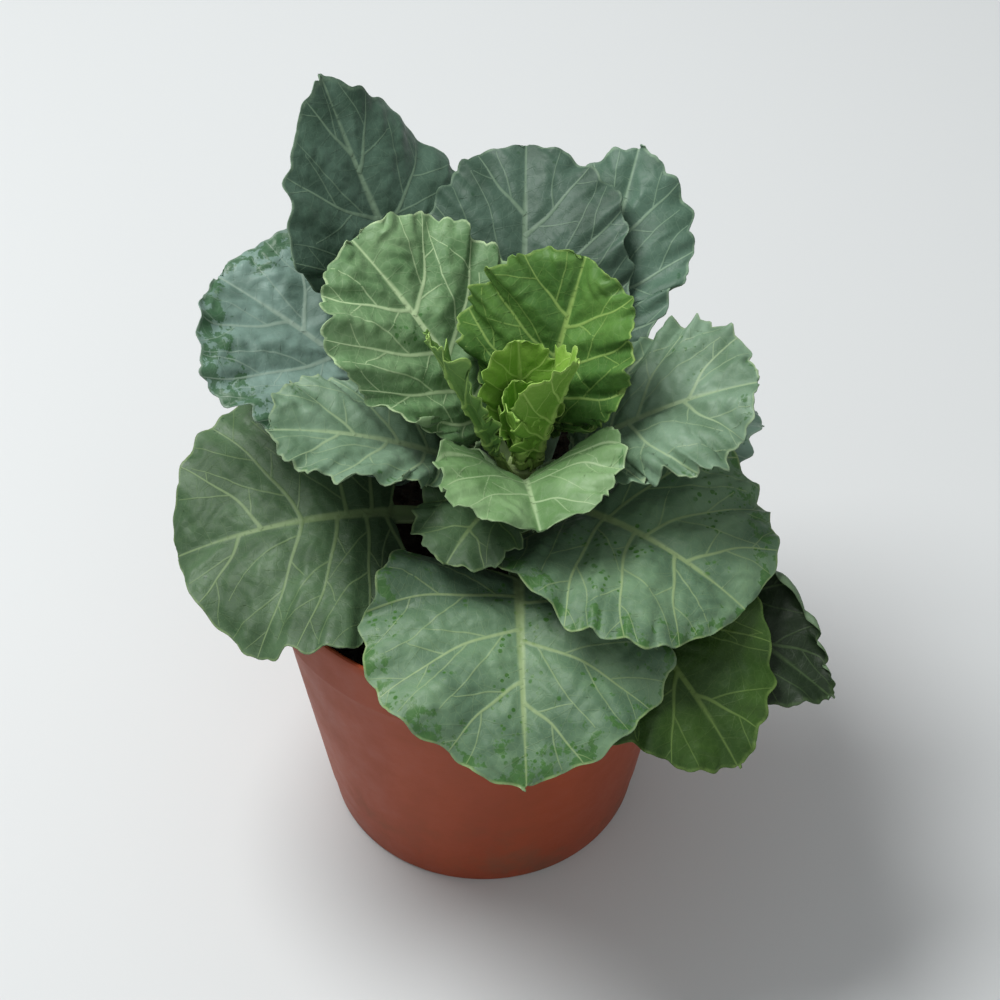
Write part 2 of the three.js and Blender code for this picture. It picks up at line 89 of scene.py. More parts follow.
SOIL_RINGS, CRUMBS, CRUMB_SEED = 44, 620, 41
POT_STEPS, SOIL_STEPS, HOLE_SIDES = 160, 180, 40
STEM_SIDES, STEM_RINGS = 40, 90
# The stem's girth from its foot (0) to its top (1), as a share of its radius.
STEM_GIRTHS = ((0, 0.7), (0.3, 0.85), (0.45, 1.08), (0.6, 1), (0.85, 0.95), (1, 0.8))
# A leaf's scar on the stem: how far below its root, half height, swelling, half width in radians.
SCAR_DROP, SCAR_HEIGHT, SCAR_RISE, SCAR_TURN = 2.2, 1.5, 0.9, 0.7

# Each leaf as in the frame, and then its looks: skin is its material, veins how many side veins
# leave each side of the midrib, pucker how far the blade swells between them, ruffle the height
# of the small crinkles along its edge, nicks and nick the number and depth of its small teeth,
# tone how much lighter or darker it is than others of its skin, partly its own colour and partly
# painted light and shade for where it sits among its neighbours, lip how many degrees the edge of
# its left half bends up and from which share of the margin on, and nudge the mm by which it gives
# way to its neighbours. First come the values that leaves share: most of them, the hidden ones at
# the back, the inner ones, all of the heart's, and the larger, folded ones round the heart.
USUAL = dict(
    root=4, sweep=0, roll=(0, 0), curl=(-10, -10), wave=2, waves=2.5, lobe=0, base=0.5, tip=0.5,
    teeth=10, veins=5, nicks=1.6, lip=(0, 0), nudge=(0, 0, 0))
HIDDEN = dict(
    USUAL, wave=2.5, tip=0.6, skin="outer", veins=4, pucker=1, ruffle=1, nick=0.5, tone=0.9)
INNER = dict(USUAL, nicks=2)
TIGHT = dict(USUAL, root=2.4, waves=3, base=0.7, skin="heart", nicks=2, tone=1.35)
FOLDED = dict(TIGHT, wave=1, teeth=7, pucker=1.3, ruffle=1.1, nicks=2.2, nick=0.8)


def one_leaf(shared, azimuth, seat, petiole, blade, width, **own):
    """One leaf's values: those it shares, its place on the stem, its sizes and the rest."""
    return dict(
        shared, azimuth=azimuth, seat=seat, petiole=petiole, blade=blade, width=width, **own)


LEAVES = {
    "leaf_01_low_right": one_leaf(USUAL, -34, 107, 36, 70, 54, rise=(24, -25), roll=(0, 8),
        fold=(4, 4), curl=(-30, 76), wave=1.5, waves=2, phase=2, tip=0.8, seed=23, skin="shade",
        veins=4, pucker=1, ruffle=0.9, nick=0.4, tone=1, lip=(160, 0.2), nudge=(0, 0, -0.8)),
    "leaf_02_low_front_right": one_leaf(USUAL, -53, 111, 34, 70, 60, rise=(30, -40), roll=(0, 16),
        fold=(8, 6), curl=(-10, -22), wave=1.5, phase=0.4, tip=0.7, seed=11, skin="low", veins=4,
        pucker=1, ruffle=0.9, nick=0.4, tone=0.92, nudge=(0.2, -0.2, -1.3)),
    "leaf_03_low_back": one_leaf(HIDDEN, 109, 113, 34, 62, 62, rise=(32, -26), fold=(14, 8), phase=1,
        lobe=0.1, seed=31),
    "leaf_04_low_back_left": one_leaf(HIDDEN, 149, 109, 28, 52, 50, rise=(30, -24), fold=(12, 8),
        phase=0.1, teeth=8, seed=211),
    "leaf_05_low_back_right": one_leaf(HIDDEN, 34, 113, 28, 54, 54, rise=(30, -24), fold=(12, 8),
        phase=1.4, lobe=0.1, seed=67),
    "leaf_06_front": one_leaf(USUAL, 270, 116, 28, 67, 88, rise=(27, -36), sweep=3, fold=(8, 4),
        curl=(-24, -18), wave=3.2, phase=2.2, lobe=0.3, base=0.42, tip=0.7, seed=47, skin="front",
        veins=4, pucker=1.8, ruffle=1.1, nick=0.45, tone=0.99),
    "leaf_07_left": one_leaf(USUAL, 189, 113, 34, 64, 90, rise=(26, -24), roll=(-6, -14), fold=(6, 4),
        curl=(-14, -14), wave=3.2, phase=0.2, lobe=0.2, base=0.45, tip=0.55, seed=53, skin="side",
        pucker=1.5, ruffle=1, nick=0.45, tone=0.88),
    "leaf_08_back_right": one_leaf(USUAL, 60, 119, 38, 70, 48, rise=(46, 28), sweep=14, fold=(18, 10),
        curl=(-40, -60), waves=2, phase=0.5, base=0.6, tip=0.6, seed=71, skin="back", veins=4,
        pucker=1.8, ruffle=1, nicks=1.8, nick=0.5, tone=1.1, nudge=(0, 0.6, 0)),
    "leaf_09_back_left": one_leaf(USUAL, 127, 122, 62, 70, 70, rise=(38, 50), sweep=-5, roll=(0, 14),
        fold=(12, 8), curl=(-80, 0), waves=2, phase=1.9, base=0.6, tip=1, seed=83, skin="back",
        veins=4, pucker=1.2, ruffle=0.8, nick=0.3, tone=0.86, nudge=(-0.3, 1.2, -0.8)),
    "leaf_10_left_back": one_leaf(USUAL, 151, 117, 34, 74, 76, rise=(42, 13), roll=(0, -6),
        fold=(12, 8), curl=(-8, -8), wave=3.6, phase=0.8, lobe=0.15, seed=97, skin="edged", pucker=2.5,
        ruffle=1.7, nicks=1.9, nick=0.8, tone=0.94, lip=(60, 0.55), nudge=(-0.4, 1, -1.4)),
    "leaf_11_front_right": one_leaf(USUAL, -37, 123, 14, 64, 80, rise=(32, -25), fold=(10, 8),
        curl=(-14, -40), wave=3, phase=1.2, lobe=0.3, seed=101, skin="front", pucker=1.9, ruffle=1.1,
        nick=0.5, tone=0.97, nudge=(0, 0.4, 1.1)),
    "leaf_12_back": one_leaf(USUAL, 89, 126, 26, 74, 62, rise=(57, 20), fold=(10, 6), curl=(-8, -8),
        wave=1.6, phase=2.6, base=0.6, tip=0.55, seed=113, skin="back", pucker=1.4, ruffle=1.1,
        nicks=1.8, nick=0.6, tone=0.78, nudge=(0.4, 1, -1.1)),
    "leaf_13_inner_front_left": one_leaf(INNER, 242, 125, 8, 37, 34, rise=(54, -16), fold=(16, 8),
        waves=2, phase=0.6, base=0.6, teeth=8, seed=127, skin="side", veins=4, pucker=1.1, ruffle=1.1,
        nick=0.7, tone=0.85),
    "leaf_14_inner_left": one_leaf(INNER, 187, 129, 16, 60, 44, rise=(46, 6), fold=(16, 10),
        curl=(-8, -8), wave=2.8, waves=2, phase=1.1, base=0.7, teeth=8, seed=131, skin="inner",
        pucker=2.5, ruffle=1.6, nick=0.8, tone=0.92),
    "leaf_15_inner_right": one_leaf(INNER, 1, 129, 14, 62, 57, rise=(54, 14), fold=(14, 10),
        curl=(-40, -20), phase=2.9, base=0.8, seed=139, skin="inner", pucker=2.6, ruffle=1.9, nick=1,
        tone=0.93),
    "leaf_16_inner_back_left": one_leaf(INNER, 141, 132, 10, 72, 64, rise=(60, 30), fold=(14, 8),
        curl=(-8, -8), wave=2.1, waves=3, phase=0.9, base=0.8, seed=149, skin="panel", pucker=2.7,
        ruffle=1.7, nick=1.2, tone=1.16, nudge=(-0.2, -0.2, 0.4)),
    "leaf_17_inner_front": one_leaf(INNER, 272, 133.4, 6, 37, 56, rise=(69, -10), sweep=10,
        fold=(31, 24), waves=2, phase=1.7, base=0.6, tip=0.42, teeth=8, seed=157, skin="fresh",
        pucker=2, ruffle=1.6, nick=1, tone=1, nudge=(0, -0.4, -0.4)),
    "leaf_18_inner_back": one_leaf(INNER, 60, 137.3, 8, 53, 56, rise=(66, 56), fold=(18, 12),
        curl=(24, 16), wave=1.6, waves=3, phase=0.3, base=0.66, seed=163, skin="crown", pucker=2.6,
        ruffle=1.7, nick=1.3, tone=1.07, nudge=(0.2, -0.6, 1.8)),
    "leaf_19_heart_left": one_leaf(USUAL, 185, 138, 6, 52, 20, rise=(69, 68), roll=(18, 24),
        fold=(10, 10), curl=(10, 26), wave=1.2, waves=3, phase=0.7, base=0.8, tip=0.6, teeth=8,
        seed=173, skin="crown", pucker=1, ruffle=1.4, nicks=2.4, nick=0.6, tone=1.3,
        nudge=(-1, -0.9, 0.4)),
}

HEART_LEAVES = [
    one_leaf(FOLDED, 100, 141, 3, 34, 25, rise=(80, 74), fold=(26, 16), curl=(10, 10), phase=0.2,
        tip=0.45, seed=191, tone=1.2),
    one_leaf(FOLDED, -20, 140, 3, 44, 24, rise=(80, 68), fold=(30, 26), curl=(70, 0), phase=1.2,
        tip=0.6, seed=197, tone=1.3),
    one_leaf(FOLDED, 255, 141, 3, 20, 18, rise=(80, 80), fold=(34, 30), curl=(16, 16), phase=2.2,
        teeth=6, seed=199, tone=1.4),
    # Small leaves that close over the growing tip.
    one_leaf(TIGHT, 120, 141, 2, 24, 18, root=1.6, rise=(82, 78), fold=(36, 24), curl=(20, 14),
        wave=0.8, phase=0.9, teeth=6, seed=211, veins=3, pucker=0.8, ruffle=0.8, nick=0.5),
    one_leaf(TIGHT, 20, 141, 2, 19, 14, root=1.2, rise=(84, 84), fold=(40, 34), curl=(30, 20),
        wave=0.6, phase=1.9, teeth=6, seed=223, veins=3, pucker=0.7, ruffle=0.7, nick=0.4),
    one_leaf(TIGHT, 200, 141, 2, 16, 12, root=1, rise=(84, 86), fold=(44, 40), curl=(30, 30), wave=0.5,
        phase=2.6, teeth=5, seed=227, veins=3, pucker=0.6, ruffle=0.6, nick=0.4),
    one_leaf(TIGHT, 300, 141, 2, 13, 10, root=0.6, rise=(86, 90), fold=(48, 46), curl=(34, 34),
        wave=0.4, phase=0.5, teeth=5, seed=229, veins=2, pucker=0.4, ruffle=0.5, nick=0.3),
]


# ---- Leaf surfaces ----

def smooth(value, low, high):
    """0 below low, 1 above high and an even S between them."""
    share = np.clip((value - low) / (high - low), 0, 1)
    return share * share * (3 - 2 * share)


def stem_axis(height):
    """The middle of the stem at a height."""
    foot, top = np.array(STEM_FOOT, float), np.array(STEM_TOP, float)
    return foot + (top - foot) * (height - foot[2]) / (top[2] - foot[2])


def midrib_of(leaf):
    """The midrib's point, and the directions across and up from it, at x mm along the blade."""
    steps = 64
    length = leaf["petiole"] + leaf["blade"]
    share = np.arange(steps + 1) / steps
    heading = math.radians(leaf["azimuth"])

    def mix(pair):
        return np.radians(pair[0] + (pair[1] - pair[0]) * share)

    climb, roll = mix(leaf["rise"]), mix(leaf["roll"])
    turn = heading + math.radians(leaf["sweep"]) * share
    along = np.stack([np.cos(climb) * np.cos(turn), np.cos(climb) * np.sin(turn), np.sin(climb)], 1)
    level = np.stack([-np.sin(turn), np.cos(turn), np.zeros(steps + 1)], 1)
    across = level * np.cos(roll)[:, None] + np.cross(along, level) * np.sin(roll)[:, None]
    up = np.cross(along, across)
    outward = np.array([math.cos(heading), math.sin(heading), 0])
    start = stem_axis(leaf["seat"]) + leaf["root"] * outward
    points = start + np.concatenate([np.zeros((1, 3)), np.cumsum(along[:-1], 0)]) * length / steps

    def at(x):
        place = np.clip((x + leaf["petiole"]) / length * steps, 0, steps - 1e-6)
        index = np.floor(place).astype(int)
        part = (place - index)[..., None]
        lines = points, across, up
        return tuple(line[index] * (1 - part) + line[index + 1] * part for line in lines)

    return at


def margin_of(leaf, from_base, side):
    """The pressed blade's edge, from its base (0) to its tip (1): x along it, y across."""
    turn = np.pi * from_base
    shoulder = np.where(from_base < 0.5, leaf["lobe"] * np.sin(2 * turn) / 2, 0)

    def taper(at):
        return np.sin(at / 2) ** (2 * leaf["base"]) * np.cos(at / 2) ** (2 * leaf["tip"])

    widest = 2 * math.atan(math.sqrt(leaf["base"] / leaf["tip"]))
    x = leaf["blade"] * ((1 - np.cos(turn)) / 2 - shoulder)
    y = leaf["width"] / 2 * taper(turn) / taper(widest)
    start = leaf["seed"] + (0 if side > 0 else 2.4)
    lobes = LOBE_DEPTH * (0.6 * np.sin(5 * turn + start) + 0.4 * np.sin(9 * turn + 1.7 * start))
    place = (from_base - BLADE_SPAN[0]) / (BLADE_SPAN[1] - BLADE_SPAN[0])
    depth = TOOTH_DEPTH * (1 + 0.5 * np.sin(7 * turn + start))
    teeth = depth * np.cos(2 * np.pi * leaf["teeth"] * place)
    # Small round teeth with sharp notches between them, uneven in place and depth.
    small = np.pi * leaf["teeth"] * leaf["nicks"] * place + 1.1 * np.sin(5 * turn + start)
    nick = leaf["nick"] * (0.75 + 0.35 * np.sin(11 * turn + start))
    teeth += nick * (2 * np.abs(np.sin(small)) ** 0.8 - 1)
    teeth *= smooth(from_base, 0, TOOTH_START)
    swell = 1 + (lobes + teeth / (leaf["width"] / 2)) * np.sin(turn) ** 0.7
    middle = leaf["blade"] / 2
    return middle + (x - middle) * swell, y * swell


def edge_line(leaf):
    """The margin of the pressed blade, both sides of it, as points."""
    from_base = np.linspace(0.02, 0.98, 160)
    sides = [np.stack(margin_of(leaf, from_base, side), 1) * (1, side) for side in (-1, 1)]
    return np.concatenate(sides)


def row_root(leaf, from_base):
    """Where on the midrib a row of the mesh starts, from where on the margin it ends."""
    square = (1 - np.cos(np.pi * from_base)) / 2
    blend = from_base ** TIP_SHARPNESS
    return leaf["blade"] * (from_base ** VEIN_CROWDING * (1 - blend) + square * blend)


def rib_depth(leaf, x):
    """How far the midrib stands out below the blade."""
    full = 0.6 + leaf["blade"] * 0.024
    return np.where(x < 0, full, full * (1 - 0.85 * x / leaf["blade"]))


def rib_shown(leaf, x, y):
    """How strongly the pale midrib shows: its strip widens into the petiole."""
    share = np.clip(x / leaf["blade"], 0, 1)
    half = 0.2 + (0.7 + 0.014 * leaf["blade"]) * (1 - share) ** 1.2 + 4 * (1 - smooth(x, -4, 1))
    return 1 - smooth(np.abs(y) / half, 0.6, 1.25)


# ---- Veins ----

class Vein:
    """A line in the pressed leaf, its half width in mm at each point and how strongly it shows."""

    def __init__(self, points, start_half, end_half, strength, level):
        self.points = np.array(points)
        self.half = np.linspace(start_half, end_half, len(points))
        self.strength, self.level = strength, level


def distance_to(places, lines):
    """From each place in the pressed leaf, the mm to the nearest point of the lines."""
    line = np.concatenate(lines).astype(np.float32)
    flat = places.reshape(-1, 2).astype(np.float32)
    square = (flat[:, :1] - line[:, 0]) ** 2 + (flat[:, 1:] - line[:, 1]) ** 2
    return np.sqrt(square.min(1)).reshape(places.shape[:2])


def grow_vein(start, heading, aim, bend, limit, edge, others, chance):
    """Steps of a millimetre from start, turning towards aim, up to another vein or the margin."""
    points, place = [start], np.array(start)
    for step in range(int(limit)):
        heading += bend * (aim - heading) + chance.normal(0, VEIN_WANDER)
        place = place + np.array([math.cos(heading), math.sin(heading)])
        points.append(tuple(place))
        at_margin = np.hypot(*(edge - place).T).min() < VEIN_MARGIN
        if at_margin or abs(place[1]) < 0.5 and step > 1:
            break
        if step > 2:
            gaps = np.hypot(*(others - place).T)
            if gaps.min() < VEIN_JOIN:
                points[-1] = tuple(others[gaps.argmin()])
                break
    return points


def side_veins(leaf, chance):
    """The large veins, which leave the midrib and arch towards the tip as far as the margin."""
    size = leaf["blade"] / MIDDLING_BLADE
    veins = []
    for side, first in ((-1, 0.4), (1, 0.62)):
        # They end evenly spread along the margin, but for a little chance.
        places = (np.arange(leaf["veins"]) + first) / leaf["veins"]
        for place in 0.09 + 0.8 * places + chance.uniform(-0.02, 0.02, len(places)):
            foot = np.array([leaf["blade"] * place ** VEIN_FORWARD, 0])
            x, y = margin_of(leaf, place, side)
            end = np.array([x, y * side]) * 0.99 + foot * 0.01
            reach = np.linalg.norm(end - foot)
            bow = (foot + end) / 2 - [reach * chance.uniform(0.08, 0.15), 0]
            share = np.linspace(0, 1, max(4, int(reach)))[:, None]
            line = foot * (1 - share) ** 2 + 2 * bow * share * (1 - share) + end * share ** 2
            sway = np.sin(share * 9 + chance.uniform(0, 6)) * np.sin(np.pi * share) * 0.5
            line[:, :1] += sway
            veins.append(Vein(line, 0.45 * size + 0.05, 0.12, 0.9, 1))
    return veins


def branches_on(leaf, veins, branch, edge, chance):
    """One level of branches, on both sides of every vein that is there already."""
    level, gap, turn, bend, limit, half, strength = branch
    limit *= leaf["blade"] / MIDDLING_BLADE
    midrib = Vein([(x, 0) for x in np.arange(2, leaf["blade"] - 3)], 0.5, 0.5, 1, 0)
    fresh = []
    for parent in veins + ([midrib] if level == 3 else []):
        side = 1 if chance.uniform() < 0.5 else -1
        at = gap * chance.uniform(0.6, 1.1)
        while at < len(parent.points) - 3:
            index = int(at)
            way = parent.points[index + 1] - parent.points[index - 1]
            along = math.atan2(way[1], way[0])
            heading = along + side * turn * chance.uniform(0.75, 1.25)
            others = np.concatenate([vein.points for vein in veins + fresh if vein is not parent])
            start, aim = tuple(parent.points[index]), along + 0.35 * side
            line = grow_vein(start, heading, aim, bend, limit, edge, others, chance)
            if len(line) > 3:
                thin = parent.half[index]
                widths = min(half, 0.75 * thin), 0.45 * min(half, thin)
                fresh.append(Vein(line, *widths, strength, level))
            at += gap * chance.uniform(0.7, 1.3)
            side = -side
    return fresh


def vein_lines(leaf):
    """The veins of the pressed blade: side veins, the branches on them, and the short cross veins
    that join those in a net."""
    chance = np.random.default_rng(leaf["seed"])
    veins = side_veins(leaf, chance)
    for branch in BRANCHES:
        veins += branches_on(leaf, veins, branch, edge_line(leaf), chance)
    return veins


# ---- The fine mesh of a leaf ----

def columns(leaf, half_width, stalk_half):
    """Places across each row, from -1 to 1: close together at the midrib and at the edges."""
    rib = np.minimum(1.05 * stalk_half / half_width, 0.8)
    inner = np.linspace(0, 1, 7)[:-1]
    count = max(10, round((leaf["width"] / 2 - stalk_half) / CELL_ACROSS))
    outer = np.append(np.linspace(0, 1, count)[:-1] * (1 - 0.5 / count), [1 - 0.16 / count, 1])
    side = np.concatenate([rib[:, None] * inner, rib[:, None] + (1 - rib[:, None]) * outer], 1)
    return np.concatenate([-side[:, :0:-1], side], 1)


class PressedGrid:
    """The mesh of one leaf pressed flat: rows from the stem to the tip, each from edge to edge.
    For each point x and y are in mm, share is x over the blade's length, from_base runs from the
    blade's base (0) to its tip (1), from_rib from one edge (-1) over the midrib to the other (1),
    out is the same without its sign, inside the mm in from the margin, and joined tells the
    petiole (0) from the blade (1)."""

    def __init__(self, leaf):
        self.stalk_half = stalk_half = PETIOLE_HALF + leaf["blade"] * PETIOLE_GROWTH
        stalk_rows = max(8, round(leaf["petiole"] / STALK_CELL))
        blade_rows = round(leaf["blade"] / CELL_ALONG)
        stalk_x = np.linspace(-leaf["petiole"], 0, stalk_rows, endpoint=False)
        ends = np.concatenate([np.zeros(stalk_rows), np.linspace(0.004, 0.988, blade_rows)])
        margins = {}
        for side in (-1, 1):
            x, y = margin_of(leaf, ends, side)
            near_stalk = stalk_half * (1 - smooth(ends, 0, 0.12))
            y = np.hypot(y, near_stalk)
            flare = 1 + 0.7 * np.exp(-(stalk_x + leaf["petiole"]) / 5)
            x[:stalk_rows], y[:stalk_rows] = stalk_x, stalk_half * flare
            margins[side] = (x, y)
        half_width = (margins[1][1] + margins[-1][1]) / 2
        self.from_rib = from_rib = columns(leaf, half_width, stalk_half)
        self.out = out = np.abs(from_rib)
        self.from_base = from_base = ends[:, None]
        self.joined = smooth(from_base, 0, JOIN_SHARE)
        root_x = np.concatenate([stalk_x, row_root(leaf, ends[stalk_rows:])])[:, None]
        edge_x = np.where(from_rib < 0, margins[-1][0][:, None], margins[1][0][:, None])
        self.edge_y = edge_y = np.where(from_rib < 0, margins[-1][1][:, None], margins[1][1][:, None])
        bow = VEIN_BOW * leaf["blade"] * out * (1 - out) * np.sin(np.pi * from_base) * self.joined
        self.y = from_rib * edge_y
        # Near the base the rows leave the midrib straight before they turn back into the lobes.
        past_stalk = (np.abs(self.y) - stalk_half) / np.maximum(edge_y - stalk_half, 0.3)
        past_stalk = np.clip(past_stalk, 0, 1)
        outward = past_stalk + (out - past_stalk) * smooth(from_base, 0.1, 0.4)
        self.x = root_x + (edge_x - root_x) * outward - bow
        self.share = np.clip(self.x / leaf["blade"], 0, 1)
        self.inside = (1 - out) * edge_y
        self.flat = np.stack([self.x, self.y], 2)


def arc(start, turn_per_mm, length):
    """The end angle, the reach and the rise of an arc that sets off at an angle and turns evenly."""
    end = start + turn_per_mm * length
    return end, (np.sin(end) - np.sin(start)) / turn_per_mm, (np.cos(start) - np.cos(end)) / turn_per_mm


def bend_blade(leaf, grid):
    """The leaf's middle surface: the pressed leaf folded, curled, waved and set on its midrib."""
    x, from_rib, from_base = grid.x, grid.from_rib, grid.from_base
    point, across, up = midrib_of(leaf)(x)
    opening = smooth(x, -0.5 * leaf["petiole"], 0.02 * leaf["blade"])
    fold = leaf["fold"][0] + (leaf["fold"][1] - leaf["fold"][0]) * grid.share
    fold = np.radians(fold) * opening
    curl = np.radians(np.where(from_rib < 0, *leaf["curl"])) * grid.share
    turn_per_mm = np.where(np.abs(curl) < 1e-3, 1e-3, curl) / (leaf["width"] / 2)
    before_lip = np.abs(grid.y).clip(max=grid.edge_y * (1 - LIP_SHARE))
    angle, reach, lift = arc(fold, turn_per_mm, before_lip)

    # The outer part of each half goes on as a second arc, and bends up further where it is a lip.
    lip_angle, lip_start = leaf["lip"]
    lip = np.radians(lip_angle) * (from_rib > 0) * smooth(from_base, lip_start, lip_start + LIP_ONSET)
    turn_per_mm = turn_per_mm + lip / np.maximum(grid.edge_y * LIP_SHARE, 0.5)
    turn_per_mm = np.where(np.abs(turn_per_mm) < 1e-5, 1e-5, turn_per_mm)
    _, lip_reach, lip_lift = arc(angle, turn_per_mm, np.abs(grid.y) - before_lip)
    reach += lip_reach
    lift += lip_lift

    # Broad waves of the blade, and small crinkles close to its edge.
    phase = 2 * np.pi * leaf["waves"] * from_base + leaf["phase"] + np.where(from_rib < 0, 1.9, 0)
    wave = leaf["wave"] * from_rib * from_rib * np.sin(np.pi * from_base) ** 0.5 * np.sin(phase)
    crinkle = 2 * np.pi * leaf["veins"] * 1.5 * from_base + 1.3 * np.sin(9 * from_base + leaf["seed"])
    crinkle = np.sin(crinkle + np.where(from_rib < 0, 2, 0)) + 0.5 * np.sin(2.3 * crinkle + 1)
    wave += leaf["ruffle"] * grid.out ** 3 * np.sin(np.pi * from_base) ** 0.6 * crinkle
    wave *= grid.joined
    skin = point + across * (np.sign(from_rib) * reach)[..., None] + up * (lift + wave)[..., None]
    # The leaf gives way to its neighbours, so none passes through another.
    giving = smooth(x, -0.7 * leaf["petiole"], 0.1 * leaf["blade"])[..., None]
    return skin + np.array(leaf["nudge"]) * giving


def normals(surface):
    """The upward direction of a surface in each of its points."""
    along, leftward = np.gradient(surface, axis=0), np.gradient(surface, axis=1)
    normal = np.cross(along, leftward)
    return normal / np.maximum(np.linalg.norm(normal, axis=2, keepdims=True), 1e-9)


def both_faces(leaf, grid, veins):
    """The upper and lower face of a leaf. The blade swells between its veins, which lie in grooves
    above and stand out below."""
    x, y, inside, joined = grid.x, grid.y, grid.inside, grid.joined
    off_side = distance_to(grid.flat, [line.points for line in veins if line.level == 1])
    off_any = distance_to(grid.flat, [line.points for line in veins if line.level <= 2])
    # Most of the swelling lies between the side veins, the rest in the meshes of their net, and
    # lumps a few mm wide make it uneven.
    puff = 0.78 * (1 - np.exp(-((np.minimum(off_side, np.abs(y)) / PANEL_REACH) ** 2)))
    puff += 0.22 * (1 - np.exp(-((np.minimum(off_any, np.abs(y)) / NET_REACH) ** 2)))
    puff *= (0.35 + 0.65 * smooth(inside, -1, 5)) * joined
    lumps = np.sin(x * 0.85 + 1.7 * np.sin(y * 0.4))
    lumps = lumps * np.sin(y * 0.7 + 1.3 * np.sin(x * 0.5 + leaf["seed"]))
    height = leaf["pucker"] * (puff * (1 + 0.3 * lumps) - 0.3)
    rib_half = grid.stalk_half / 0.92 * (1 - 0.62 * grid.share)
    round_rib = np.sqrt(np.clip(1 - (y / rib_half) ** 2, 0, 1))
    height = height + RIB_RISE * round_rib ** 2 * joined * (1 - grid.share)
    height -= CHANNEL_DEPTH * (1 - smooth(np.abs(y), 0, grid.stalk_half)) * (1 - joined)
    thick = EDGE_THICKNESS + (BLADE_THICKNESS - EDGE_THICKNESS) * smooth(inside, 0, 2)
    thick = PETIOLE_THICKNESS + (thick - PETIOLE_THICKNESS) * joined
    stand = 0.8 * np.exp(-((off_side / 0.75) ** 2)) * (1 - 0.75 * grid.out) * smooth(inside, 0, 4)
    depth = thick + rib_depth(leaf, x) * round_rib + stand * joined
    middle = bend_blade(leaf, grid)
    upper = middle + normals(middle) * height[..., None]
    return upper, upper - normals(middle) * depth[..., None]


# ---- From leaf surfaces to pieces ----

def skin_faces(rows, count):
    """Quads of a closed skin whose rings run out along the upper face and back along the lower."""
    ring = 2 * count
    here = np.arange(ring)
    beside = (here + 1) % ring
    starts = ring * np.arange(rows - 1)[:, None]
    sides = np.stack([starts + here, starts + ring + here, starts + ring + beside, starts + beside], 2)
    faces = [tuple(face) for face in sides.reshape(-1, 4).tolist()]
    for start, turned in ((0, False), (ring * (rows - 1), True)):
        for place in range(count - 1):
            opposite = start + ring - 1 - place
            face = (start + place, start + place + 1, opposite - 1, opposite)
            faces.append(face[::-1] if turned else face)
    return faces


def lay_veins(veins, surface, flat, lift, side, detail):
    """Thin ribbons along the veins on one face of a leaf, the upper (side 1) or the lower (-1),
    taken from their place in the pressed leaf to their place on the bent one."""
    rows, count = flat.shape[:2]
    pressed = [Vector((x, y, 0)) for x, y in flat.reshape(-1, 2).tolist()]
    solid = [Vector(point) for point in surface.reshape(-1, 3).tolist()]
    corners = (np.arange(rows - 1)[:, None] * count + np.arange(count - 1)).ravel()
    thirds = np.stack([corners, corners + count, corners + count + 1], 1)
    others = np.stack([corners, corners + count + 1, corners + 1], 1)
    triangles = np.concatenate([thirds, others]).tolist()
    tree = BVHTree.FromPolygons(pressed, triangles)
    across = len(VEIN_SECTION)
    points, data, faces = [], [], []
    for line in veins:
        if line.level > detail:
            continue
        ahead = np.gradient(line.points, axis=0)
        ahead /= np.maximum(np.linalg.norm(ahead, axis=1, keepdims=True), 1e-6)
        aside = np.stack([-ahead[:, 1], ahead[:, 0]], 1)
        first = len(points)
        for place, (middle, half, way) in enumerate(zip(line.points, line.half, aside)):
            for share, strength, rise in VEIN_SECTION:
                x, y = (middle + way * half * share).tolist()
                near, _, index, _ = tree.find_nearest(Vector((x, y, 0)))
                a, b, c = triangles[index]
                corner = solid[a], solid[b], solid[c]
                point = barycentric_transform(near, pressed[a], pressed[b], pressed[c], *corner)
                upward = (corner[1] - corner[0]).cross(corner[2] - corner[0])
                if upward.length > 0:
                    upward.normalize()
                upward = upward * side
                points.append(point + upward * (RIBBON_GAP + rise * lift * half))
                data.append((x, y, strength * line.strength))
            if place:
                for low in range(first + (place - 1) * across, first + place * across - 1):
                    face = (low, low + 1, low + across + 1, low + across)
                    faces.append(face if side < 0 else face[::-1])
    return np.array([tuple(point) for point in points]), np.array(data), faces


def round_trip(rows):
    """Each row out and back again, as the rings of a leaf's closed skin run."""
    return np.concatenate([rows, rows[:, ::-1]], 1)


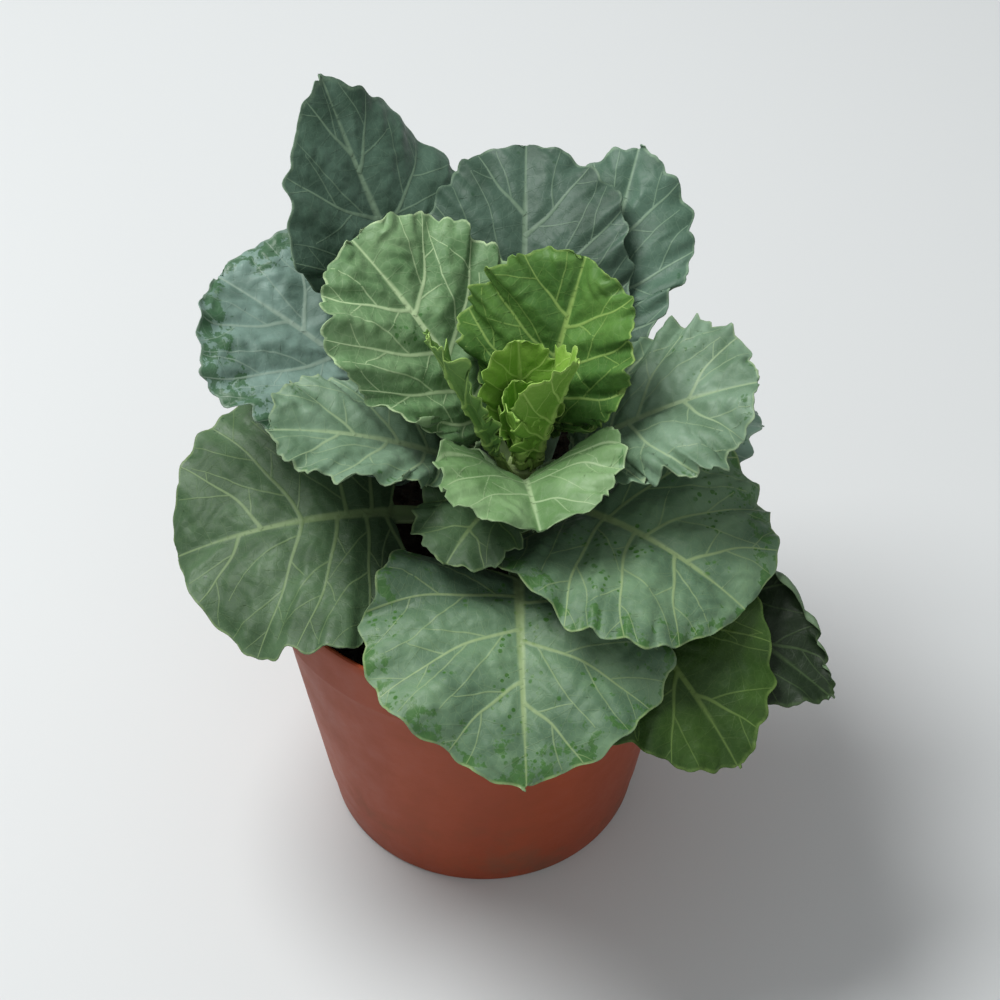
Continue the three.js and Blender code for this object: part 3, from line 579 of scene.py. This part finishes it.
def grow_leaves(name, leaves, node):
    """One mesh of one leaf, or of several that grow together. For its material, each point carries
    flat_mm, its place in the pressed leaf and the leaf's seed; skin_data, how strongly a vein
    shows, the mm in from the margin, and 1 on the lower face; and its tone."""
    points, flat_mm, skin_data, tones, faces = [], [], [], [], []

    def keep(leaf, part, part_faces, flat, vein, inside, under):
        offset = sum(len(done) for done in points)
        faces.extend(tuple(offset + corner for corner in face) for face in part_faces)
        points.append(part)
        flat_mm.append(np.column_stack([flat, np.full(len(part), leaf["seed"])]))
        skin_data.append(np.column_stack([vein, inside, under]))
        # Painted shade, darker towards the foot of the blade.
        up_blade = smooth(flat[:, 0] / leaf["blade"], 0, FOOT_SHARE)
        tones.append(leaf["tone"] * (FOOT_SHADE + (1 - FOOT_SHADE) * up_blade))

    for leaf in leaves:
        veins = vein_lines(leaf)
        grid = PressedGrid(leaf)
        upper, lower = both_faces(leaf, grid, veins)
        rows, count = grid.from_rib.shape
        skin = np.concatenate([upper, lower[:, ::-1]], 1).reshape(-1, 3)
        flat = round_trip(grid.flat).reshape(-1, 2)
        rib = round_trip(rib_shown(leaf, grid.x, grid.y)).ravel()
        under = np.tile(np.repeat([0, 1], count), rows)
        keep(leaf, skin, skin_faces(rows, count), flat, rib, round_trip(grid.inside).ravel(), under)
        for surface, lift, side, detail in ((upper, UPPER_LIFT, 1, 3), (lower, LOWER_LIFT, -1, 2)):
            ribbon, data, ribbon_faces = lay_veins(veins, surface, grid.flat, lift, side, detail)
            flat, vein = data[:, :2], np.maximum(data[:, 2], rib_shown(leaf, data[:, 0], data[:, 1]))
            inside = distance_to(flat[None], [edge_line(leaf)])[0]
            keep(leaf, ribbon, ribbon_faces, flat, vein, inside, np.full(len(data), side < 0))
    mesh = bpy.data.meshes.new(name)
    mesh.from_pydata((np.concatenate(points) * MM).tolist(), [], faces)
    for key, parts in (("flat_mm", flat_mm), ("skin_data", skin_data)):
        attribute = mesh.attributes.new(key, "FLOAT_VECTOR", "POINT")
        attribute.data.foreach_set("vector", np.concatenate(parts).astype(np.float32).ravel())
    tone = mesh.attributes.new("tone", "FLOAT", "POINT")
    tone.data.foreach_set("value", np.concatenate(tones).astype(np.float32))
    mesh.shade_smooth()
    mesh.validate()
    return place_piece(bpy.data.objects.new(name, mesh), node)


def place_piece(piece, node):
    """Puts a piece in the scene, on the plant's one body and in place of its CAD node."""
    if piece.name not in bpy.context.scene.collection.all_objects:
        bpy.context.scene.collection.objects.link(piece)
    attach(piece, "root")
    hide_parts(node)
    return piece


# ---- Materials ----

def rgb(code):
    """Linear colour with alpha from an sRGB hex code."""
    parts = [int(code[i:i + 2], 16) / 255 for i in (1, 3, 5)]
    return tuple(c / 12.92 if c <= 0.04045 else ((c + 0.055) / 1.055) ** 2.4 for c in parts) + (1,)


def add(tree, kind, inputs=None, **settings):
    """Adds a node, sets its properties, sets or links its inputs, and gives back its outputs."""
    node = tree.nodes.new("ShaderNode" + kind)
    for key, value in settings.items():
        setattr(node, key, value)
    for key, value in (inputs or {}).items():
        if isinstance(value, bpy.types.NodeSocket):
            tree.links.new(value, node.inputs[key])
        else:
            node.inputs[key].default_value = value
    return node.outputs


def new_material(name):
    """A new material, its node tree and its shader."""
    material = bpy.data.materials.new(name)
    material.use_nodes = True
    tree = material.node_tree
    return material, tree, tree.nodes["Principled BSDF"]


def finish_shader(tree, shader, links, constants):
    """Links sockets of the shader to what the nodes give, and sets others to a number or colour."""
    for key, output in links.items():
        tree.links.new(output, shader.inputs[key])
    for key, value in constants.items():
        shader.inputs[key].default_value = value


# Settings that several nodes share.
PRODUCT = dict(operation="MULTIPLY")
SUM_OF_PRODUCT = dict(operation="MULTIPLY_ADD")
DIFFERENCE = dict(operation="SUBTRACT")
LARGER = dict(operation="MAXIMUM")
EASED = dict(interpolation_type="SMOOTHSTEP")
COLOURS = dict(data_type="RGBA")


def leaf_material(name, blade, deep, vein, under, rubbed, speckle, blots, bloom, contrast):
    """Waxy kale leaf: a blade mottled from blade to deep colour, pale veins that fork and join
    in a net, a paler underside and edge, and spots where the wax is rubbed off or wet."""
    material, tree, shader = new_material(name)
    flat = add(tree, "Attribute", attribute_name="flat_mm")["Vector"]
    along = add(tree, "SeparateXYZ", {0: flat})[0]
    data = add(tree, "Attribute", attribute_name="skin_data")["Vector"]
    large, inside, below = add(tree, "SeparateXYZ", {0: data})

    # The lace between the large veins: cells of about 2 mm.
    lace_cells = add(tree, "TexVoronoi", {"Vector": flat, "Scale": 1 / 2.1}, feature="DISTANCE_TO_EDGE")
    lace = add(tree, "MapRange", {0: lace_cells["Distance"], 1: 0.09, 2: 0.02}, **EASED)[0]
    faint = add(tree, "Math", {0: lace, 1: 0.08}, **PRODUCT)[0]
    lines = add(tree, "Math", {0: large, 1: faint}, **LARGER)[0]

    # Colour: clouds of wax some 14 mm wide, and a grain of half a millimetre, drawn coarser than
    # the wax's own. The deep colour takes over towards the foot of the blade, partly for the thinner
    # wax there and partly as painted shade under the leaves above.
    cloud = add(tree, "TexNoise", {"Vector": flat, "Scale": 1 / 14, "Detail": 2, "Roughness": 0.45})[0]
    grain = add(tree, "TexNoise", {"Vector": flat, "Scale": 1 / 0.6, "Detail": 2})[0]
    clouds = add(tree, "MapRange", {0: cloud, 1: 0.35, 2: 0.68, 4: 0.7}, **EASED)[0]
    foot = add(tree, "MapRange", {0: along, 1: 36, 2: 0, 4: 0.8}, **EASED)[0]
    mottle = add(tree, "Math", {0: clouds, 1: foot}, **LARGER)[0]
    mottle = add(tree, "Math", {0: grain, 1: 0.14, 2: mottle}, **SUM_OF_PRODUCT)[0]
    colour = add(tree, "Mix", {0: mottle, 6: rgb(blade), 7: rgb(deep)}, **COLOURS)[2]

    # Wax gone or wet: small spots of uneven size, close together in a few patches some 17 mm wide,
    # and ragged blots of about 5 mm near the margin.
    spots = add(tree, "TexVoronoi", {"Vector": flat, "Scale": 1 / 1.9})
    size = add(tree, "SeparateXYZ", {0: spots["Color"]})[0]
    reach = add(tree, "MapRange", {0: size, 3: 0.12, 4: 0.42})[0]
    from_spot = add(tree, "Math", {0: spots["Distance"], 1: reach}, **DIFFERENCE)[0]
    dots = add(tree, "MapRange", {0: from_spot, 1: 0.05, 2: -0.05}, **EASED)[0]
    region = add(tree, "TexNoise", {"Vector": flat, "Scale": 1 / 17, "Detail": 3, "Roughness": 0.6})[0]
    patch = add(tree, "MapRange", {0: region, 1: 0.62 - speckle, 2: 0.68 - speckle}, **EASED)[0]
    spot = add(tree, "Math", {0: dots, 1: patch}, **PRODUCT)[0]
    ragged = add(tree, "TexNoise", {"Vector": flat, "Scale": 1 / 5, "Detail": 4, "Roughness": 0.65})[0]
    margin = add(tree, "MapRange", {0: inside, 1: 2, 2: 14, 3: 0.58, 4: 0.85})[0]
    blot = add(tree, "Math", {0: ragged, 1: margin}, **DIFFERENCE)[0]
    blot = add(tree, "MapRange", {0: blot, 1: -blots, 2: 0.05 - blots, 4: 0.8}, **EASED)[0]
    spot = add(tree, "Math", {0: spot, 1: blot}, **LARGER)[0]
    spot_share = add(tree, "Math", {0: spot, 1: 0.95}, **PRODUCT)[0]
    colour = add(tree, "Mix", {0: spot_share, 6: colour, 7: rgb(rubbed)}, **COLOURS)[2]

    # The paler underside, then the pale veins and the pale line of uneven strength on the edge.
    under_share = add(tree, "Math", {0: below, 1: 0.55}, **PRODUCT)[0]
    colour = add(tree, "Mix", {0: under_share, 6: colour, 7: rgb(under)}, **COLOURS)[2]
    rim = add(tree, "MapRange", {0: inside, 1: 0.8, 2: 0.25}, **EASED)[0]
    uneven = add(tree, "MapRange", {0: ragged, 1: 0.38, 2: 0.6, 3: 0.2, 4: 0.9}, **EASED)[0]
    rim = add(tree, "Math", {0: rim, 1: uneven}, **PRODUCT)[0]
    pale = add(tree, "Math", {0: lines, 1: rim}, **LARGER)[0]
    pale = add(tree, "Math", {0: pale, 1: contrast}, **PRODUCT)[0]
    colour = add(tree, "Mix", {0: pale, 6: colour, 7: rgb(vein)}, **COLOURS)[2]
    # The tone: the leaf's own lightness with painted light and shade, darker towards the blade's foot.
    tone = add(tree, "Attribute", attribute_name="tone")["Fac"]
    colour = add(tree, "HueSaturation", {"Color": colour, "Value": tone})["Color"]

    # Relief: dimples of about 4 mm, and the lace, which lies in grooves on the upper face and
    # stands out on the lower one.
    facing = add(tree, "Math", {0: below, 1: 2, 2: -1}, **SUM_OF_PRODUCT)[0]
    bare = add(tree, "MapRange", {0: large, 1: 0, 2: 0.2, 3: 1, 4: 0})[0]
    grooves = add(tree, "Math", {0: lace, 1: facing}, **PRODUCT)[0]
    grooves = add(tree, "Math", {0: grooves, 1: bare}, **PRODUCT)[0]
    dimples = add(tree, "TexNoise", {"Vector": flat, "Scale": 1 / 3.6, "Detail": 1})[0]
    relief = add(tree, "Math", {0: grooves, 1: 0.1}, **PRODUCT)[0]
    relief = add(tree, "Math", {0: dimples, 1: 1.9, 2: relief}, **SUM_OF_PRODUCT)[0]
    relief = add(tree, "Math", {0: grain, 1: 0.1, 2: relief}, **SUM_OF_PRODUCT)[0]
    bump = add(tree, "Bump", {"Height": relief, "Strength": 0.6, "Distance": 0.4 * MM})[0]
    gloss = add(tree, "MapRange", {0: cloud, 1: 0.3, 2: 0.7, 3: 0.46, 4: 0.6})[0]
    gloss = add(tree, "Math", {0: spot, 1: -0.16, 2: gloss}, **SUM_OF_PRODUCT)[0]
    finish_shader(tree, shader, {"Base Color": colour, "Normal": bump, "Roughness": gloss}, {
        "IOR": 1.42, "Specular IOR Level": 0.42,
        "Sheen Weight": bloom, "Sheen Roughness": 0.45, "Sheen Tint": rgb("#dfeee6")})
    return material


# Each skin: the material's name, the colours of its blade, mottling, veins, underside and bare
# spots, how many spots and blots it has, how strong its bloom is and how strongly its veins show.
SKINS = {
    # Wax gives a dull blue-grey bloom over green.
    "outer": leaf_material(
        "waxed blue-green kale leaf", "#6a8676", "#496755", "#8fa48e", "#7f9880", "#3f6446",
        speckle=0.02, blots=0.02, bloom=0.1, contrast=0.62),
    # A thicker bloom, rubbed off near the edge: powdery grey-blue with dark green blotches, its
    # blade made paler and bluer with a painted sheen of light.
    "edged": leaf_material(
        "waxed blue-green kale leaf, rubbed along its edge",
        "#7f9b90", "#425d4e", "#93a796", "#7f9880", "#2e5a2c",
        speckle=-0.02, blots=0.16, bloom=0.14, contrast=0.72),
    # A thin bloom: bluish, with soft veins, and darkened with painted shade for a leaf in half shade.
    "back": leaf_material(
        "waxed blue-green kale leaf in painted shade", "#506c5b", "#36513f", "#8aa587", "#6f8870", "#34563c",
        speckle=-0.05, blots=-0.05, bloom=0.08, contrast=0.6),
    # Wax that drops have wetted: grey-green, speckled with bare green spots.
    "front": leaf_material(
        "waxed grey-green kale leaf, spotted where wet",
        "#6f8e6c", "#48664d", "#98ae77", "#7f9880", "#3b6a28",
        speckle=0.11, blots=0.11, bloom=0.07, contrast=0.72),
    # Thin wax: a mid green with yellowish veins, made duller and darker with painted shade.
    "side": leaf_material(
        "waxed mid-green kale leaf", "#567350", "#324d2e", "#849c67", "#7a9378", "#2f5230",
        speckle=-0.03, blots=-0.03, bloom=0.05, contrast=0.68),
    # Young tissue under fresh wax: soft grey-green, deeply mottled between pale veins.
    "inner": leaf_material(
        "young grey-green kale leaf", "#7d9a80", "#4d6c4d", "#9ab187", "#8aa27a", "#416b38",
        speckle=0, blots=0, bloom=0.07, contrast=0.8),
    # Less wax on a younger leaf: clear mid green with a bright net of veins.
    "panel": leaf_material(
        "young mid-green kale leaf", "#6d8c62", "#476a40", "#b4ca9c", "#8aa27a", "#3c6833",
        speckle=-0.05, blots=-0.05, bloom=0.06, contrast=0.8),
    # Younger still: light and fresh, with a light underside that is partly painted light.
    "fresh": leaf_material(
        "young fresh green kale leaf", "#82a372", "#4c733c", "#a2ba8d", "#a3bd92", "#40703a",
        speckle=-0.05, blots=-0.05, bloom=0.05, contrast=0.78),
    # An old leaf that has lost its wax: a plain deep green without bloom, deepened with painted shade.
    "low": leaf_material(
        "old bare green kale leaf", "#38581a", "#264315", "#76924a", "#66814c", "#27471c",
        speckle=-0.1, blots=-0.1, bloom=0.01, contrast=0.6),
    # The oldest leaf: a dark green deepened with painted shade, with a pale waxed underside.
    "shade": leaf_material(
        "shaded dark green kale leaf", "#20321a", "#142510", "#4f673c", "#84a07c", "#183016",
        speckle=-0.1, blots=-0.1, bloom=0.02, contrast=0.5),
    # Leaves just unfolded: hardly any wax yet, so a warm clear green.
    "crown": leaf_material(
        "fresh green kale leaf", "#557d38", "#386126", "#97b562", "#6c8e4c", "#30591d",
        speckle=-0.1, blots=-0.1, bloom=0.03, contrast=0.72),
    # Tissue still growing, thin and bright: yellow-green.
    "heart": leaf_material(
        "yellow-green heart leaf", "#73993b", "#527d27", "#a9c46e", "#668c34", "#4d7d20",
        speckle=-0.1, blots=-0.1, bloom=0.02, contrast=0.6),
}


def pot_material():
    """Injection-moulded polypropylene in terracotta: an even satin skin with faint flow marks,
    and soil dust that dulls its lower part."""
    material, tree, shader = new_material("moulded terracotta polypropylene")
    place = add(tree, "TexCoord")["Object"]
    # Flow marks some 16 mm wide and 70 mm tall, and dust in patches of about 17 mm.
    flow = add(tree, "Mapping", {0: place, 3: (40, 40, 9)})[0]
    marks = add(tree, "TexNoise", {"Vector": flow, "Scale": 1.6, "Detail": 4})[0]
    dust = add(tree, "TexNoise", {"Vector": place, "Scale": 60, "Detail": 6, "Roughness": 0.7})[0]
    height = add(tree, "SeparateXYZ", {0: place})[2]
    low = add(tree, "MapRange", {0: height, 1: 0.05, 2: 0, 3: 0.16, 4: 0.66}, **EASED)[0]
    dusty = add(tree, "MapRange", {0: dust, 1: 0.45, 2: 0.7}, **EASED)[0]
    dusty = add(tree, "Math", {0: dusty, 1: low}, **PRODUCT)[0]
    colour = add(tree, "Mix", {0: marks, 6: rgb("#a64a26"), 7: rgb("#913c1d")}, **COLOURS)[2]
    colour = add(tree, "Mix", {0: dusty, 6: colour, 7: rgb("#7a523c")}, **COLOURS)[2]
    gloss = add(tree, "MapRange", {0: dust, 1: 0.3, 2: 0.7, 3: 0.42, 4: 0.62})[0]
    # The mould's fine grain, drawn coarser than real, at 0.7 mm, so that it shows.
    grain = add(tree, "TexNoise", {"Vector": place, "Scale": 1400, "Detail": 2})[0]
    bump = add(tree, "Bump", {"Height": grain, "Strength": 0.25, "Distance": 0.1 * MM})[0]
    finish_shader(tree, shader, {"Base Color": colour, "Roughness": gloss, "Normal": bump}, {
        "IOR": 1.49, "Specular IOR Level": 0.3})
    return material


def soil_material():
    """Moist peat compost: nearly black, with brown crumbs and dull dark patches."""
    material, tree, shader = new_material("moist peat compost")
    place = add(tree, "TexCoord")["Object"]
    # Crumbs of about 2.4 mm, and patches some 14 mm wide.
    crumbs = add(tree, "TexNoise", {"Vector": place, "Scale": 420, "Detail": 8, "Roughness": 0.75})[0]
    patches = add(tree, "TexNoise", {"Vector": place, "Scale": 70, "Detail": 3})[0]
    brown = add(tree, "MapRange", {0: crumbs, 1: 0.35, 2: 0.7}, **EASED)[0]
    colour = add(tree, "Mix", {0: brown, 6: rgb("#1c1510"), 7: rgb("#4a3527")}, **COLOURS)[2]
    dull = add(tree, "MapRange", {0: patches, 1: 0.4, 2: 0.7, 4: 0.6}, **EASED)[0]
    colour = add(tree, "Mix", {0: dull, 6: colour, 7: rgb("#241a14")}, **COLOURS)[2]
    gloss = add(tree, "MapRange", {0: patches, 1: 0.3, 2: 0.7, 3: 0.7, 4: 0.95})[0]
    bump = add(tree, "Bump", {"Height": crumbs, "Strength": 0.9, "Distance": 0.7 * MM})[0]
    finish_shader(tree, shader, {"Base Color": colour, "Roughness": gloss, "Normal": bump}, {})
    return material


def stem_material():
    """Fleshy kale stem: smooth pale green above, corky brown towards the soil."""
    material, tree, shader = new_material("fleshy kale stem")
    place = add(tree, "TexCoord")["Object"]
    height = add(tree, "SeparateXYZ", {0: place})[2]
    # Streaks of bark about 1 mm wide and 11 mm long.
    streaks = add(tree, "Mapping", {0: place, 3: (900, 900, 90)})[0]
    bark = add(tree, "TexNoise", {"Vector": streaks, "Scale": 1, "Detail": 5})[0]
    lower = add(tree, "MapRange", {0: height, 1: 0.122, 2: 0.1}, **EASED)[0]
    cork = add(tree, "MapRange", {0: bark, 1: 0.3, 2: 0.6, 3: 0.5, 4: 1})[0]
    cork = add(tree, "Math", {0: lower, 1: cork}, **PRODUCT)[0]
    green = add(tree, "Mix", {0: bark, 6: rgb("#a3b57a"), 7: rgb("#7f9a5b")}, **COLOURS)[2]
    colour = add(tree, "Mix", {0: cork, 6: green, 7: rgb("#6b5a3e")}, **COLOURS)[2]
    bump = add(tree, "Bump", {"Height": bark, "Strength": 0.5, "Distance": 0.3 * MM})[0]
    finish_shader(tree, shader, {"Base Color": colour, "Normal": bump}, {
        "Roughness": 0.5, "IOR": 1.4})
    return material


# ---- Pot ----

def select_only(piece):
    bpy.ops.object.select_all(action="DESELECT")
    piece.select_set(True)
    bpy.context.view_layer.objects.active = piece


def spin_profile(name, profile, steps):
    """A closed body of revolution about the pot's axis from a profile of (radius, height) in mm."""
    mesh = bpy.data.meshes.new(name)
    points = [(radius * MM, 0, height * MM) for radius, height in profile]
    mesh.from_pydata(points, [(i, i + 1) for i in range(len(points) - 1)], [])
    piece = bpy.data.objects.new(name, mesh)
    bpy.context.scene.collection.objects.link(piece)
    select_only(piece)
    bpy.ops.object.mode_set(mode="EDIT")
    bpy.ops.mesh.select_all(action="SELECT")
    bpy.ops.mesh.spin(steps=steps, angle=2 * math.pi, center=(0, 0, 0), axis=(0, 0, 1))
    bpy.ops.mesh.select_all(action="SELECT")
    bpy.ops.mesh.remove_doubles(threshold=0.005 * MM)
    bpy.ops.mesh.normals_make_consistent(inside=False)
    bpy.ops.object.mode_set(mode="OBJECT")
    return piece


def inner_wall(inset):
    """The pot's inner wall, from its floor up, drawn in by inset."""
    return [
        (BASE_RADIUS - WALL - inset, FLOOR + inset),
        (BODY_RADIUS - WALL - inset, COLLAR_FOOT),
        (RIM_RADIUS - 0.7 - WALL - inset, COLLAR_FOOT + WALL + inset),
        (RIM_RADIUS - WALL - inset, POT_HEIGHT - 0.6),
    ]


def make_pot(material):
    """The pot: a moulded ring under its floor, a foot, a tapered body and a collar, with holes."""
    # Each part of the outline: where it is measured from, then its points as mm outwards and up.
    outline = (
        (0, 0, ((0, 0.9), (18, 0.9), (19, 0.3), (20, 0.3), (21, 0.9))),
        (BASE_RADIUS, 0, (
            (-5, 0.9), (-4.4, 0), (-1.6, 0), (-0.4, 0.5), (0, 1.6), (1.6, 12), (1.9, 12.3))),
        (BODY_RADIUS, COLLAR_FOOT, ((-0.9, -8), (0, -0.9), (0.3, -0.3))),
        (RIM_RADIUS, COLLAR_FOOT, ((-1.5, -0.2), (-1.05, 0.2), (-0.95, 1))),
        (RIM_RADIUS, POT_HEIGHT, (
            (-0.6, -4.2), (-0.1, -3.8), (0, -1.2), (-0.25, -0.35), (-0.7, 0), (-1.3, -0.15))),
    )
    profile = [(x + out, z + up) for x, z, points in outline for out, up in points]
    profile += inner_wall(0)[::-1] + [(0, FLOOR)]
    pot = spin_profile("moulded_pot", profile, POT_STEPS)
    pot.data.materials.append(material)
    for hole in range(DRAIN_HOLES):
        angle = hole * 2 * math.pi / DRAIN_HOLES
        place = (DRAIN_RING_RADIUS * math.cos(angle) * MM, DRAIN_RING_RADIUS * math.sin(angle) * MM, 0)
        bpy.ops.mesh.primitive_cylinder_add(
            vertices=HOLE_SIDES, radius=DRAIN_HOLE_RADIUS * MM, depth=10 * MM, location=place)
        drill = bpy.context.object
        cut = pot.modifiers.new("hole", "BOOLEAN")
        cut.operation, cut.object, cut.solver = "DIFFERENCE", drill, "EXACT"
        bpy.context.view_layer.objects.active = pot
        bpy.ops.object.modifier_apply(modifier=cut.name)
        bpy.data.objects.remove(drill)
    select_only(pot)
    bpy.ops.object.shade_smooth_by_angle(angle=math.radians(32))
    return place_piece(pot, "pot")


# ---- Soil ----

def soil_height(x, y):
    """Height of the soil's crumbly surface over its mean, in mm."""
    wide = noise.noise(Vector((x * 0.06, y * 0.06, 3.1)))
    clods = noise.noise(Vector((x * 0.25, y * 0.25, 7.7)))
    crumbs = noise.noise(Vector((x * 0.8, y * 0.8, 1.9)))
    return 1.6 * wide + 1.1 * clods + 0.6 * crumbs


def make_soil(material):
    """The soil: it fills the pot, with a rough surface and loose crumbs on it."""
    edge = RIM_RADIUS - 0.4 - WALL - 2 * GAP
    top = [(edge * (1 - ring / SOIL_RINGS), SOIL_TOP) for ring in range(SOIL_RINGS)]
    profile = [(0, FLOOR + GAP)] + inner_wall(2 * GAP)[:3] + top + [(0, SOIL_TOP)]
    soil = spin_profile("crumbly_soil", profile, SOIL_STEPS)
    mesh = bmesh.new()
    mesh.from_mesh(soil.data)
    for point in mesh.verts:
        if point.co.z > (SOIL_TOP - 0.01) * MM:
            point.co.z += soil_height(point.co.x / MM, point.co.y / MM) * MM
    # Loose crumbs of peat and bark, 0.8 to 3 mm across, sunk into the surface.
    chance = np.random.default_rng(CRUMB_SEED)
    for _ in range(CRUMBS):
        radius, angle = (edge - 2) * math.sqrt(chance.uniform(0.01, 1)), chance.uniform(0, 2 * math.pi)
        x, y = radius * math.cos(angle), radius * math.sin(angle)
        size = 0.4 + 1.1 * chance.uniform() ** 3
        made = bmesh.ops.create_icosphere(mesh, subdivisions=1, radius=size * MM)["verts"]
        stretch = chance.uniform(0.55, 1.5, 3)
        turn = chance.uniform(0, math.pi)
        middle = Vector((x, y, SOIL_TOP + soil_height(x, y) + 0.25 * size)) * MM
        for point in made:
            point.co *= 1 + chance.uniform(-0.2, 0.2)
            point.co = Vector(a * b for a, b in zip(point.co, stretch))
            point.co.xy = (point.co.x * math.cos(turn) - point.co.y * math.sin(turn),
                           point.co.x * math.sin(turn) + point.co.y * math.cos(turn))
            point.co += middle
    mesh.to_mesh(soil.data)
    mesh.free()
    soil.data.materials.append(material)
    soil.data.shade_smooth()
    return place_piece(soil, "soil")


# ---- Stem ----

def make_stem(material):
    """The stem, with the swollen scars under the roots of its leaves."""
    angles = np.arange(STEM_SIDES) * 2 * np.pi / STEM_SIDES
    points = []
    for ring in range(STEM_RINGS):
        share = ring / (STEM_RINGS - 1)
        height = STEM_FOOT[2] + share * (STEM_TOP[2] - STEM_FOOT[2])
        radius = STEM_RADIUS * np.interp(share, *zip(*STEM_GIRTHS)) * np.ones(STEM_SIDES)
        for leaf in LEAVES.values():
            heading = math.radians(leaf["azimuth"])
            turned = (angles - heading + np.pi) % (2 * np.pi) - np.pi
            drop = height - (leaf["seat"] - SCAR_DROP)
            radius += SCAR_RISE * np.exp(-((turned / SCAR_TURN) ** 2) - (drop / SCAR_HEIGHT) ** 2)
        centre = stem_axis(height)
        for reach, angle in zip(radius, angles):
            out = (reach * math.cos(angle), reach * math.sin(angle), 0)
            points.append(tuple((centre + out) * MM))
    here = np.arange(STEM_SIDES)
    starts = STEM_SIDES * np.arange(STEM_RINGS - 1)[:, None]
    above, beside = starts + STEM_SIDES, (here + 1) % STEM_SIDES
    faces = np.stack([starts + here, starts + beside, above + beside, above + here], 2)
    faces = [tuple(face) for face in faces.reshape(-1, 4).tolist()]
    faces += [tuple(range(STEM_SIDES))[::-1], tuple(range(len(points) - STEM_SIDES, len(points)))]
    mesh = bpy.data.meshes.new("scarred_stem")
    mesh.from_pydata(points, [], faces)
    mesh.materials.append(material)
    mesh.shade_smooth()
    return place_piece(bpy.data.objects.new("scarred_stem", mesh), "stem")


# ---- The plant ----

make_pot(pot_material())
make_soil(soil_material())
make_stem(stem_material())
for name, leaf in LEAVES.items():
    grown = grow_leaves("veined_" + name, [leaf], name)
    grown.data.materials.append(SKINS[leaf["skin"]])
heart = grow_leaves("folded_heart", HEART_LEAVES, "heart")
heart.data.materials.append(SKINS["heart"])

# ---- Floor, light and camera ----

# Matt painted board: a plain pale ground that takes the plant's soft shadow.
floor_material, floor_tree, floor_shader = new_material("pale matt floor")
finish_shader(floor_tree, floor_shader, {}, {"Base Color": rgb("#d9dcdc"), "Roughness": 0.8})
bpy.ops.mesh.primitive_plane_add(size=6)
floor = bpy.context.object
floor.name = "floor"
floor.data.materials.append(floor_material)

# Soft light from a wide box overhead to the left, and a dim even room that is darker low down.
world = bpy.data.worlds.new("soft room light")
bpy.context.scene.world = world
world.use_nodes = True
sky = world.node_tree
height = add(sky, "SeparateXYZ", {0: add(sky, "TexCoord")["Generated"]})[2]
strength = add(sky, "MapRange", {0: height, 1: -0.2, 2: 1, 3: 0.1, 4: 0.46}, **EASED)[0]
finish_shader(sky, sky.nodes["Background"], {"Strength": strength}, {"Color": rgb("#f0f3f5")})


def soft_light(name, place, target, size, power):
    """A round lamp of a size in metres, turned to its target, with its power in watts."""
    light = bpy.data.lights.new(name, "AREA")
    light.shape, light.size, light.energy = "DISK", size, power
    lamp = bpy.data.objects.new(name, light)
    lamp.location = place
    lamp.rotation_euler = (Vector(target) - Vector(place)).to_track_quat("-Z", "Y").to_euler()
    bpy.context.scene.collection.objects.link(lamp)


soft_light("overhead_softbox", place=(-0.45, 0.2, 1.12), target=(0, 0, 0.12), size=0.6, power=13)
soft_light("front_fill", place=(0.6, -1.3, 0.8), target=(0, 0, 0.1), size=1, power=2.5)
bpy.context.scene.view_settings.view_transform = "Standard"

# The camera looks down on the plant from the front, 48 degrees above the horizon.
VIEW_TARGET = Vector((5.2, -7.1, 130.6)) * MM
VIEW_DISTANCE = 925 * MM
VIEW_ELEVATION = math.radians(48)
away = Vector((0, -math.cos(VIEW_ELEVATION), math.sin(VIEW_ELEVATION)))
lens = bpy.data.cameras.new("camera")
lens.lens, lens.sensor_width = 116.7, 36
camera = bpy.data.objects.new("camera", lens)
camera.location = VIEW_TARGET + away * VIEW_DISTANCE
camera.rotation_euler = (-away).to_track_quat("-Z", "Y").to_euler()
bpy.context.scene.collection.objects.link(camera)
bpy.context.scene.camera = camera
